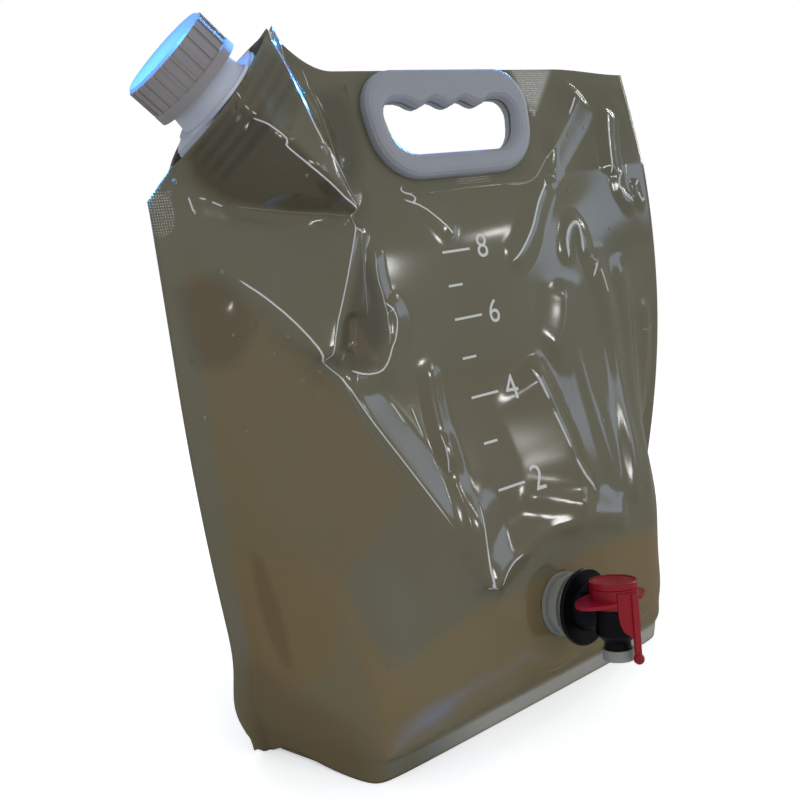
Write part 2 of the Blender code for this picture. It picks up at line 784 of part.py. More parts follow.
collar_hole = core_hole - HOLE_STEP
rib_hole = core_hole + HOLE_STEP
neck_collar = plate(
    "neck_collar",
    [ellipse(COLLAR_HALF_LENGTH, COLLAR_HALF_WIDTH), ellipse(collar_hole, collar_hole)],
    FIT_GAP,
    collar_high,
    collection=cutters,
    frame=spout,
)
core_outline = lens(WELD_HALF_LENGTH - WELD_RIB_HEIGHT, WELD_HALF_WIDTH - WELD_RIB_HEIGHT)
weld_core = plate(
    "weld_core",
    [core_outline, ellipse(core_hole, core_hole)],
    -WELD_DEPTH,
    1.2 * OVERLAP,
    collection=cutters,
    frame=spout,
)
boolean(spout_neck, neck_collar, "UNION")
boolean(spout_neck, weld_core, "UNION")
for index, height in enumerate(np.linspace(WELD_RIB_END - WELD_DEPTH, -WELD_RIB_END, WELD_RIBS)):
    weld_rib = plate(
        f"weld_rib_{index}",
        [lens(WELD_HALF_LENGTH, WELD_HALF_WIDTH), ellipse(rib_hole, rib_hole)],
        float(height) - WELD_RIB_WIDTH / 2,
        float(height) + WELD_RIB_WIDTH / 2,
        collection=cutters,
        frame=spout,
    )
    boolean(spout_neck, weld_rib, "UNION")
neck_thread = thread("neck_thread", NECK_RADIUS, 1, neck_start, collection=cutters, frame=spout)
boolean(spout_neck, neck_thread, "UNION")

# Screw cap, with grip ribs over the upper three quarters of its side
cap_top = cap_low + CAP_HEIGHT
screw_cap = turned(
    "screw_cap",
    [
        (0, cap_top),
        (cap_radius - CAP_EDGE, cap_top),
        (cap_radius, cap_top - CAP_EDGE),
        (cap_radius, cap_low + CAP_BAND_HEIGHT + CAP_BAND_STEP),
        (cap_radius + CAP_BAND_STEP, cap_low + CAP_BAND_HEIGHT),
        (cap_radius + CAP_BAND_STEP, cap_low),
        (cap_bore, cap_low),
        (cap_bore, cap_top - CAP_WALL),
        (0, cap_top - CAP_WALL),
    ],
    material=grey_plastic,
    frame=spout,
)
rib_middle = Vector((cap_radius + (CAP_RIB_HEIGHT - OVERLAP) / 2, 0, cap_top - CAP_RIB_TOP - CAP_RIB_LENGTH / 2))
bm = bmesh.new()
for index in range(CAP_RIBS):
    rib = bmesh.ops.create_cube(bm, size=1.0)["verts"]
    bmesh.ops.scale(bm, verts=rib, vec=(CAP_RIB_HEIGHT + OVERLAP, CAP_RIB_WIDTH, CAP_RIB_LENGTH))
    bmesh.ops.translate(bm, verts=rib, vec=rib_middle)
    turn = Matrix.Rotation(2 * math.pi * index / CAP_RIBS, 3, "Z")
    bmesh.ops.rotate(bm, verts=rib, cent=(0, 0, 0), matrix=turn)
cap_ribs = add_solid("cap_ribs", bm, smooth=False, collection=cutters, frame=spout)
boolean(screw_cap, cap_ribs, "UNION")
cap_thread = thread("cap_thread", cap_bore, -1, neck_start + THREAD_PITCH / 2, collection=cutters, frame=spout)
boolean(screw_cap, cap_thread, "UNION")
liner_low = NECK_LENGTH + FIT_GAP
cylinder(
    "cap_liner",
    cap_bore - THREAD_HEIGHT - LINER_CLEARANCE,
    liner_low,
    liner_low + LINER_THICKNESS,
    material=soft_seal,
    frame=spout,
)

# Carry handle: two halves that clamp the films, with pegs on the back half
handle_outline = rounded(
    [
        (-HANDLE_BOTTOM_HALF, -HANDLE_HALF_HEIGHT, HANDLE_BOTTOM_CORNER),
        (HANDLE_BOTTOM_HALF, -HANDLE_HALF_HEIGHT, HANDLE_BOTTOM_CORNER),
        (HANDLE_TOP_HALF, HANDLE_HALF_HEIGHT, HANDLE_TOP_CORNER),
        (-HANDLE_TOP_HALF, HANDLE_HALF_HEIGHT, HANDLE_TOP_CORNER),
    ],
    steps=7,
)
film_face = FILM_GAP / 2 + FILM + FIT_GAP
handle_face = film_face + HANDLE_HALF_THICKNESS


def handle_half(name, side):
    """The part of the whole handle that stands in front of the films, or behind them for side -1."""
    half = plate(
        name,
        [handle_outline, grip_outline()],
        -handle_face,
        handle_face,
        edge=HANDLE_EDGE,
        material=grey_plastic,
        frame=handle,
    )
    far = 2 * HANDLE_TOP_HALF
    low, high = sorted((-side * 2 * handle_face, side * film_face))
    other_half = box(
        f"beside_{name}", (-far, -far, low), (far, far, high), collection=cutters, frame=handle
    )
    boolean(half, other_half, "DIFFERENCE")
    return half


handle_front = handle_half("handle_front", 1)
handle_back = handle_half("handle_back", -1)
for peg in at_pegs("peg", PEG_RADIUS, -film_face - 1.5 * OVERLAP, PEG_REACH):
    boolean(handle_back, peg, "UNION")
for socket in at_pegs("socket", PEG_RADIUS + FIT_GAP, -OVERLAP, PEG_REACH + FIT_GAP):
    boolean(handle_front, socket, "DIFFERENCE")

# Tap gland: flange inside the film, ringed spigot outside, bore for the tap barrel
gland_profile = [
    (GLAND_BORE, GLAND_LENGTH),
    (GLAND_RADIUS + GLAND_HEAD, GLAND_LENGTH),
    (GLAND_RADIUS + GLAND_HEAD, GLAND_LENGTH - GLAND_HEAD_HEIGHT),
    (GLAND_RADIUS, GLAND_LENGTH - GLAND_HEAD_HEIGHT),
]
for ring_low in (FIT_GAP + GLAND_RING_PITCH, FIT_GAP):
    gland_profile += [
        (GLAND_RADIUS, ring_low + GLAND_RING_WIDTH),
        (GLAND_RADIUS + GLAND_RING_HEIGHT, ring_low + GLAND_RING_WIDTH),
        (GLAND_RADIUS + GLAND_RING_HEIGHT, ring_low),
        (GLAND_RADIUS, ring_low),
    ]
gland_flange_high = -FILM - FIT_GAP
gland_profile += [
    (GLAND_RADIUS, gland_flange_high),
    (GLAND_FLANGE, gland_flange_high),
    (GLAND_FLANGE, gland_flange_high - GLAND_FLANGE_THICKNESS),
    (GLAND_BORE, gland_flange_high - GLAND_FLANGE_THICKNESS),
]
turned("tap_gland", gland_profile, material=clear_grey_plastic, frame=tap)

# Tap body: flange and barrel on the gland's axis, then chamber and nozzle on the knob's axis
barrel_radius = GLAND_BORE - FIT_GAP
barrel_bore = barrel_radius - BARREL_WALL
groove_radius = barrel_radius - SEAL_GROOVE
groove_high = SEAL_GROOVE_LOW + SEAL_GROOVE_WIDTH
flange_face = GLAND_LENGTH + FIT_GAP
flange_front = flange_face + TAP_FLANGE_THICKNESS
tap_body = turned(
    "tap_body",
    [
        (0, flange_front),
        (TAP_FLANGE - TAP_FLANGE_EDGE, flange_front),
        (TAP_FLANGE, flange_front - TAP_FLANGE_EDGE),
        (TAP_FLANGE, flange_face),
        (barrel_radius, flange_face),
        (barrel_radius, groove_high),
        (groove_radius, groove_high),
        (groove_radius, SEAL_GROOVE_LOW),
        (barrel_radius, SEAL_GROOVE_LOW),
        (barrel_radius, BARREL_END),
        (barrel_bore, BARREL_END),
        (barrel_bore, flange_face - OVERLAP),
        (0, flange_face - OVERLAP),
    ],
    material=black_plastic,
    frame=tap,
)
tap_arm = turned(
    "tap_arm",
    [
        (0, KNOB_REACH - 2 * OVERLAP),
        (ARM_RADIUS_FRONT, KNOB_REACH - 2 * OVERLAP),
        (ARM_RADIUS_BACK, flange_front - OVERLAP / 2),
        (0, flange_front - OVERLAP / 2),
    ],
    steps=36,
    collection=cutters,
    frame=tap,
)
collar_low = WING_HEIGHT - COLLAR_SKIRT
knob_room = cylinder(
    "knob_room",
    WING_HALF_LENGTH + WING_BACK + WING_CLEARANCE,
    collar_low - FIT_GAP,
    COLLAR_TOP + OVERLAP,
    collection=cutters,
    frame=knob,
)
chamber = turned(
    "tap_chamber",
    [
        (0, CHAMBER_TOP),
        (CHAMBER_RADIUS, CHAMBER_TOP),
        (CHAMBER_RADIUS, -CHAMBER_BOTTOM + CHAMBER_SHOULDER),
        (NOZZLE_RADIUS, -CHAMBER_BOTTOM - 2 * CHAMBER_SHOULDER),
        (NOZZLE_RADIUS, -NOZZLE_END),
        (0, -NOZZLE_END),
    ],
    collection=cutters,
    frame=knob,
)
chamber_bore = turned(
    "chamber_bore",
    [
        (0, CHAMBER_TOP + OVERLAP),
        (CHAMBER_BORE, CHAMBER_TOP + OVERLAP),
        (CHAMBER_BORE, -CHAMBER_BOTTOM + CHAMBER_SHOULDER + SEAT_CONE),
        (SEAT_BORE, -CHAMBER_BOTTOM + CHAMBER_SHOULDER),
        (SEAT_BORE, -CHAMBER_BOTTOM),
        (NOZZLE_BORE, -CHAMBER_BOTTOM - CHAMBER_SHOULDER / 2),
        (NOZZLE_BORE, -NOZZLE_END - OVERLAP),
        (0, -NOZZLE_END - OVERLAP),
    ],
    steps=32,
    collection=cutters,
    frame=knob,
)
arm_bore = cylinder(
    "arm_bore",
    ARM_BORE,
    flange_face - 2 * OVERLAP,
    KNOB_REACH - CHAMBER_BORE / 2,
    steps=30,
    centre=(0, -ARM_BORE_DROP),
    collection=cutters,
    frame=tap,
)
boolean(tap_body, tap_arm, "UNION")
boolean(tap_body, knob_room, "DIFFERENCE")
boolean(tap_body, chamber, "UNION")
boolean(chamber_bore, arm_bore, "UNION")
boolean(tap_body, chamber_bore, "DIFFERENCE")
turned(
    "barrel_seal",
    [
        (GLAND_BORE - FIT_GAP / 2, groove_high - 2 * FIT_GAP),
        (GLAND_BORE - FIT_GAP / 2, SEAL_GROOVE_LOW + 2 * FIT_GAP),
        (groove_radius + FIT_GAP, SEAL_GROOVE_LOW + FIT_GAP),
        (groove_radius + FIT_GAP, groove_high - FIT_GAP),
    ],
    material=soft_seal,
    frame=tap,
)

# Red finger collar, with a wing plate on both sides and a window for the tear-off apron
collar_mouth = collar_radius - COLLAR_LIP
groove_top = COLLAR_TOP - GROOVE_DROP
finger_collar = turned(
    "finger_collar",
    [
        (collar_mouth, COLLAR_TOP),
        (collar_radius - FIT_GAP, COLLAR_TOP),
        (collar_radius, COLLAR_TOP - FIT_GAP),
        (collar_radius, groove_top),
        (collar_radius - GROOVE_SIZE, groove_top - GROOVE_SIZE / 2),
        (collar_radius, groove_top - GROOVE_SIZE),
        (collar_radius, collar_low),
        (collar_bore, collar_low),
        (collar_bore, COLLAR_TOP - COLLAR_LIP_HEIGHT - FIT_GAP),
        (collar_mouth, COLLAR_TOP - COLLAR_LIP_HEIGHT),
    ],
    material=red_plastic,
    frame=knob,
)
finger_wings = plate(
    "finger_wings",
    [[(x, y + WING_BACK) for x, y in ellipse(WING_HALF_WIDTH, WING_HALF_LENGTH)]],
    WING_HEIGHT,
    WING_HEIGHT + WING_THICKNESS,
    collection=cutters,
    frame=knob,
)


def sector(name, inner, outer, half_angle, foot_angle, low, high, **where):
    """A curved plate about the knob axis that faces forward, narrowing from half_angle to foot_angle."""
    bm = bmesh.new()
    bmesh.ops.create_cube(bm, size=1.0)
    side_edges = [edge for edge in bm.edges if abs(edge.verts[0].co.x - edge.verts[1].co.x) > 0.5]
    bmesh.ops.subdivide_edges(bm, edges=side_edges, cuts=9)
    rise_edges = [edge for edge in bm.edges if abs(edge.verts[0].co.z - edge.verts[1].co.z) > 0.5]
    bmesh.ops.subdivide_edges(bm, edges=rise_edges, cuts=5)
    for vert in bm.verts:
        share = vert.co.z + 0.5
        swell = math.sqrt(max(1 - (1 - min(share / APRON_SHOULDER, 1)) ** 2, 0))
        reach = math.radians(foot_angle + (half_angle - foot_angle) * swell)
        angle = 2 * vert.co.x * reach - math.pi / 2
        radius = outer if vert.co.y < 0 else inner
        vert.co = (radius * math.cos(angle), radius * math.sin(angle), low + (high - low) * share)
    return add_solid(name, bm, **where)


window_angle = APRON_HALF_ANGLE + APRON_SIDE_CLEARANCE
window_cutter = sector(
    "window_cutter",
    collar_bore - OVERLAP,
    WING_HALF_WIDTH + OVERLAP,
    window_angle,
    window_angle,
    collar_low - OVERLAP,
    APRON_TOP + FIT_GAP,
    collection=cutters,
    frame=knob,
)
wing_hole = cylinder(
    "wing_hole",
    (collar_bore + collar_radius) / 2,
    WING_HEIGHT - OVERLAP,
    WING_HEIGHT + WING_THICKNESS + OVERLAP,
    collection=cutters,
    frame=knob,
)
boolean(finger_wings, wing_hole, "DIFFERENCE")
boolean(finger_collar, finger_wings, "UNION")
boolean(finger_collar, window_cutter, "DIFFERENCE")

# Tear-off apron with its pull strip and ball
tamper_tab = sector(
    "tamper_tab",
    collar_mouth,
    collar_radius,
    APRON_HALF_ANGLE,
    APRON_FOOT_ANGLE,
    APRON_LOW,
    APRON_TOP,
    material=red_plastic,
    frame=knob,
)
strip_front = -collar_radius - OVERLAP / 2
strip = box(
    "pull_strip",
    (-STRIP_HALF_WIDTH, strip_front, STRIP_END),
    (STRIP_HALF_WIDTH, strip_front + STRIP_THICKNESS, APRON_TOP - OVERLAP),
    collection=cutters,
    frame=knob,
)
bm = bmesh.new()
bmesh.ops.create_uvsphere(bm, u_segments=16, v_segments=10, radius=BALL_RADIUS)
bmesh.ops.translate(bm, verts=bm.verts[:], vec=(0, -collar_radius, STRIP_END + BALL_SINK - BALL_RADIUS))
strip_ball = add_solid("strip_ball", bm, collection=cutters, frame=knob)
boolean(tamper_tab, strip, "UNION")
boolean(tamper_tab, strip_ball, "UNION")

# Push button, stem, plug and dome
button_radius = collar_mouth - FIT_GAP
button_top = COLLAR_TOP - BUTTON_SINK
button_foot = button_top - BUTTON_DISH - BUTTON_THICKNESS
turned(
    "push_button",
    [
        (0, button_top - BUTTON_DISH),
        *[(share * button_radius, button_top - fall * BUTTON_DISH) for share, fall in BUTTON_DISH_PROFILE],
        (button_radius, button_top),
        (button_radius, button_top - BUTTON_THICKNESS),
        (STEM_RADIUS + BUTTON_BOSS, button_foot),
        (0, button_foot),
    ],
    material=red_plastic,
    frame=knob,
)
stem_top = button_foot - FIT_GAP
plug_top = -CHAMBER_BOTTOM - SEAT_CLEARANCE
plug_bottom = plug_top - PLUG_THICKNESS
turned(
    "valve_stem",
    [
        (0, stem_top),
        (STEM_RADIUS, stem_top),
        (STEM_RADIUS, plug_bottom - FIT_GAP),
        (STEM_RADIUS + STEM_BARB, plug_bottom - FIT_GAP),
        (STEM_RADIUS, plug_bottom - STEM_TIP),
        (0, plug_bottom - STEM_TIP),
    ],
    steps=24,
    material=black_plastic,
    frame=knob,
)
plug_bore = STEM_RADIUS + FIT_GAP
turned(
    "valve_plug",
    [
        (plug_bore, plug_top),
        (SEAT_BORE, plug_top),
        (PLUG_RADIUS, plug_top - PLUG_BEVEL),
        (PLUG_RADIUS, plug_bottom),
        (plug_bore, plug_bottom),
    ],
    steps=32,
    material=soft_seal,
    frame=knob,
)
dome_foot = CHAMBER_TOP + FIT_GAP
dome_top = stem_top - DOME_DROP
dome_rim = CHAMBER_RADIUS - FIT_GAP
turned(
    "dome_spring",
    [
        (plug_bore, dome_top),
        (plug_bore + DOME_WALL, dome_top),
        (dome_rim - DOME_RIM, dome_foot + DOME_WALL),
        (dome_rim, dome_foot + DOME_WALL),
        (dome_rim, dome_foot),
        (dome_rim - DOME_RIM, dome_foot),
        (plug_bore + DOME_WALL, dome_top - DOME_WALL),
        (plug_bore, dome_top - DOME_WALL),
    ],
    steps=32,
    material=soft_seal,
    frame=knob,
)

# Dust cap on the nozzle
dust_bore = NOZZLE_RADIUS + FIT_GAP
dust_outer = dust_bore + DUST_CAP_WALL
dust_floor = -NOZZLE_END - FIT_GAP
dust_low = dust_floor - DUST_CAP_WALL
turned(
    "nozzle_cap",
    [
        (0, dust_floor),
        (dust_bore, dust_floor),
        (dust_bore, dust_low + DUST_CAP_HEIGHT),
        (dust_outer, dust_low + DUST_CAP_HEIGHT),
        (dust_outer, dust_low + FIT_GAP),
        (dust_outer - FIT_GAP, dust_low),
        (0, dust_low),
    ],
    material=clear_grey_plastic,
    frame=knob,
)

for label, place, direction in (
    ("tap", tap_origin, tap_out),
    ("knob", knob_origin, tap_up),
    ("spout", spout_origin, spout_axis),
    ("handle", handle_origin, panel_front),
):
    print(label, "at", [round(v / MM, 2) for v in place], "along", [round(v, 5) for v in direction])
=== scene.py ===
import math

import bmesh
import bpy
import numpy as np
from mathutils import Matrix, Vector
from mathutils.bvhtree import BVHTree


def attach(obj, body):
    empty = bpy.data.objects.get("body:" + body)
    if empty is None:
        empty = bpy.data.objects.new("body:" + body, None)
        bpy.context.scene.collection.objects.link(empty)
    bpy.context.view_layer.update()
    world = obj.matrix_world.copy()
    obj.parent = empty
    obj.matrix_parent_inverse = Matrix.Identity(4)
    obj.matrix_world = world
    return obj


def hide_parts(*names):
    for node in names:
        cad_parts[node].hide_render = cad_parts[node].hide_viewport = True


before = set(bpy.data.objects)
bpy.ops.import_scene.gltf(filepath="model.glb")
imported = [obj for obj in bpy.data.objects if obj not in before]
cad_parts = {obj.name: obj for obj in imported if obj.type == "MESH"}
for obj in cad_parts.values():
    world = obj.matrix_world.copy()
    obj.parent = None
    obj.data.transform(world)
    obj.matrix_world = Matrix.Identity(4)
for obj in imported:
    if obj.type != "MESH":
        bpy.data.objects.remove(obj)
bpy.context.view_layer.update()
mm = 0.001
print("frame loaded:", len(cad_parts), "nodes")


# Colours and node helper
def toLinear(hexColour):
    values = [int(hexColour[i : i + 2], 16) / 255 for i in (1, 3, 5)]
    linear = [v / 12.92 if v <= 0.04045 else ((v + 0.055) / 1.055) ** 2.4 for v in values]
    return (*linear, 1.0)


def addNode(tree, kind, links=None, **settings):
    # links maps an input name or number to a socket, settings set inputs or properties
    node = tree.nodes.new(kind)
    for name, value in settings.items():
        if hasattr(node, name):
            setattr(node, name, value)
        else:
            node.inputs[name.replace("_", " ")].default_value = value
    for name, socket in (links or {}).items():
        tree.links.new(socket, node.inputs[name])
    return node


# Stage: camera, floor, world and lamps
stageLook = {
    "cameraAt": (-0.346, -0.384, 0.363),
    "cameraTurn": (70.0, 0.0, -37.0),
    "lens": 42.1,
    "floorRadius": 3.0,
    "floorColour": "#F4F4F2",
    "floorReflect": "#8E8A82",  # what the film and the plastics mirror of the floor
    "floorGlow": 0.45,
    "floorFadeFrom": 0.28,
    "floorFadeTo": 0.75,
    "skyColour": "#F2F5FA",
    "skyLevel": 0.92,
    "skyReflect": "#E4E9F0",
    "skyReflectLevel": 0.32,
}

cameraData = bpy.data.cameras.new("camera")
cameraData.lens = stageLook["lens"]
cameraData.clip_start = 0.01
camera = bpy.data.objects.new("camera", cameraData)
camera.location = stageLook["cameraAt"]
camera.rotation_euler = [math.radians(a) for a in stageLook["cameraTurn"]]
bpy.context.scene.collection.objects.link(camera)
bpy.context.scene.camera = camera
bpy.context.scene.view_settings.view_transform = "Standard"

floorBm = bmesh.new()
bmesh.ops.create_circle(floorBm, cap_ends=True, segments=96, radius=stageLook["floorRadius"])
floorMesh = bpy.data.meshes.new("floor")
floorBm.to_mesh(floorMesh)
floorBm.free()
floor = bpy.data.objects.new("floor", floorMesh)
bpy.context.scene.collection.objects.link(floor)
floorMaterial = bpy.data.materials.new("white_floor")
floorMaterial.use_nodes = True
tree = floorMaterial.node_tree
tree.nodes.clear()
path = addNode(tree, "ShaderNodeLightPath")
floorTint = addNode(tree, "ShaderNodeMix", {0: path.outputs["Is Glossy Ray"]}, data_type="RGBA")
floorTint.inputs[6].default_value = toLinear(stageLook["floorColour"])
floorTint.inputs[7].default_value = toLinear(stageLook["floorReflect"])
diffuse = addNode(tree, "ShaderNodeBsdfDiffuse", {"Color": floorTint.outputs[2]})
seenRays = {0: path.outputs["Is Camera Ray"], 1: path.outputs["Is Transmission Ray"]}
seen = addNode(tree, "ShaderNodeMath", seenRays, operation="ADD")
glowLevel = addNode(tree, "ShaderNodeMath", {0: seen.outputs[0]}, operation="MULTIPLY")
glowLevel.inputs[1].default_value = stageLook["floorGlow"]
glow = addNode(tree, "ShaderNodeEmission", {"Strength": glowLevel.outputs[0]}, Color=(1, 1, 1, 1))
both = addNode(tree, "ShaderNodeAddShader", {0: diffuse.outputs[0], 1: glow.outputs[0]})
place = addNode(tree, "ShaderNodeTexCoord")
span = addNode(tree, "ShaderNodeVectorMath", {0: place.outputs["Object"]}, operation="LENGTH")
far = addNode(tree, "ShaderNodeMapRange", {"Value": span.outputs["Value"]}, interpolation_type="SMOOTHSTEP")
far.inputs["From Min"].default_value = stageLook["floorFadeFrom"]
far.inputs["From Max"].default_value = stageLook["floorFadeTo"]
farSeen = addNode(tree, "ShaderNodeMath", {0: far.outputs[0], 1: seen.outputs[0]}, operation="MULTIPLY")
white = addNode(tree, "ShaderNodeEmission", Color=(1, 1, 1, 1), Strength=1.0)
floorMix = {0: farSeen.outputs[0], 1: both.outputs[0], 2: white.outputs[0]}
faded = addNode(tree, "ShaderNodeMixShader", floorMix)
addNode(tree, "ShaderNodeOutputMaterial", {"Surface": faded.outputs[0]})
floorMesh.materials.append(floorMaterial)

world = bpy.data.worlds.new("plain_sky")
bpy.context.scene.world = world
world.use_nodes = True
tree = world.node_tree
tree.nodes.clear()
path = addNode(tree, "ShaderNodeLightPath")
seenRays = {0: path.outputs["Is Camera Ray"], 1: path.outputs["Is Transmission Ray"]}
seen = addNode(tree, "ShaderNodeMath", seenRays, operation="MAXIMUM")
whiteSky = addNode(tree, "ShaderNodeBackground", Color=(1, 1, 1, 1), Strength=1.0)
softSky = addNode(tree, "ShaderNodeBackground")
softSky.inputs["Color"].default_value = toLinear(stageLook["skyColour"])
softSky.inputs["Strength"].default_value = stageLook["skyLevel"]
reflectSky = addNode(tree, "ShaderNodeBackground")
reflectSky.inputs["Color"].default_value = toLinear(stageLook["skyReflect"])
reflectSky.inputs["Strength"].default_value = stageLook["skyReflectLevel"]
glossMix = {0: path.outputs["Is Glossy Ray"], 1: softSky.outputs[0], 2: reflectSky.outputs[0]}
skyForGloss = addNode(tree, "ShaderNodeMixShader", glossMix)
skyMix = {0: seen.outputs[0], 1: skyForGloss.outputs[0], 2: whiteSky.outputs[0]}
sky = addNode(tree, "ShaderNodeMixShader", skyMix)
addNode(tree, "ShaderNodeOutputWorld", {"Surface": sky.outputs[0]})


def lamp(name, at, target, width, height, power, colour, spread=180):
    data = bpy.data.lights.new(name, "AREA")
    data.shape = "RECTANGLE"
    data.size = width
    data.size_y = height
    data.energy = power
    data.color = toLinear(colour)[:3]
    data.spread = math.radians(spread)
    made = bpy.data.objects.new(name, data)
    made.location = at
    made.rotation_euler = (Vector(target) - Vector(at)).to_track_quat("-Z", "Y").to_euler()
    made.visible_camera = False
    bpy.context.scene.collection.objects.link(made)


lamps = {  # place, target, width and height in metres, watts, colour and, where narrow, spread in degrees
    "rightWindow": ((1.159, -0.669, 0.60), (0, 0, 0.2), 0.42, 0.28, 0.62, "#B9CFF0"),
    "spotA": ((0.64, -1.11, 0.76), (0, 0, 0.22), 0.16, 0.10, 0.75, "#FFFFFF"),
    "spotB": ((0.97, -0.82, 0.81), (0, 0, 0.22), 0.09, 0.05, 0.2, "#FFFFFF"),
    "sideStrip": ((1.35, 0.05, 0.75), (0, 0, 0.2), 0.05, 0.6, 1.6, "#FFFFFF"),
    "blueFacet": ((0.914, 0.611, 0.71), (-0.088, 0.055, 0.36), 0.20, 0.20, 0.42, "#2C86F0", 6),
    "blueCap": ((-0.36, 0.30, 0.93), (-0.175, 0.066, 0.386), 0.05, 0.05, 0.20, "#2C8CF4", 8),
}
for name, values in lamps.items():
    lamp(name, *values)
print("stage ready")


# Materials
def plainMaterial(name, colour, roughness, alpha=1.0, specular=0.5, ior=1.46):
    made = bpy.data.materials.new(name)
    made.use_nodes = True
    shader = made.node_tree.nodes["Principled BSDF"]
    shader.inputs["Base Color"].default_value = toLinear(colour)
    shader.inputs["Roughness"].default_value = roughness
    shader.inputs["Alpha"].default_value = alpha
    shader.inputs["IOR"].default_value = ior
    shader.inputs["Specular IOR Level"].default_value = specular
    return made, made.node_tree, shader


filmLook = {  # widths, pitches, depths and heights in mm
    "colour": "#696652",
    "cloud": "#645F4B",
    "warm": "#786541",
    # dark and pale serve the tones below, painted shade and painted highlight among them
    "dark": "#3F3A2C",
    "pale": "#B2AFA6",
    "roughness": 0.13,
    "alpha": 0.92,
    "specular": 1.0,
    "ior": 1.5,
    "cloudWidth": 55.6,
    # the near-white of the painted highlight on crease crests and on the emboss's raised points
    "paintedHighlight": "#DDE1E0",
    "knurlPitch": 1.25,
    "knurlDepth": 0.07,
    "dotFrom": 0.3,
    "dotTo": 0.95,
    "glintShare": 0.5,
    "rippleWidth": 26,
    "rippleDepth": 0.07,
    "creaseHalf": 0.38,
    "creaseHeight": 0.3,
    "creaseReach": (3, 4.5),  # a crease line stops between these distances
    # where a crease's painted highlight starts and where it is full, by the crest's raised height
    "highlightFrom": 0.3,
    "highlightTo": 1.1,
}


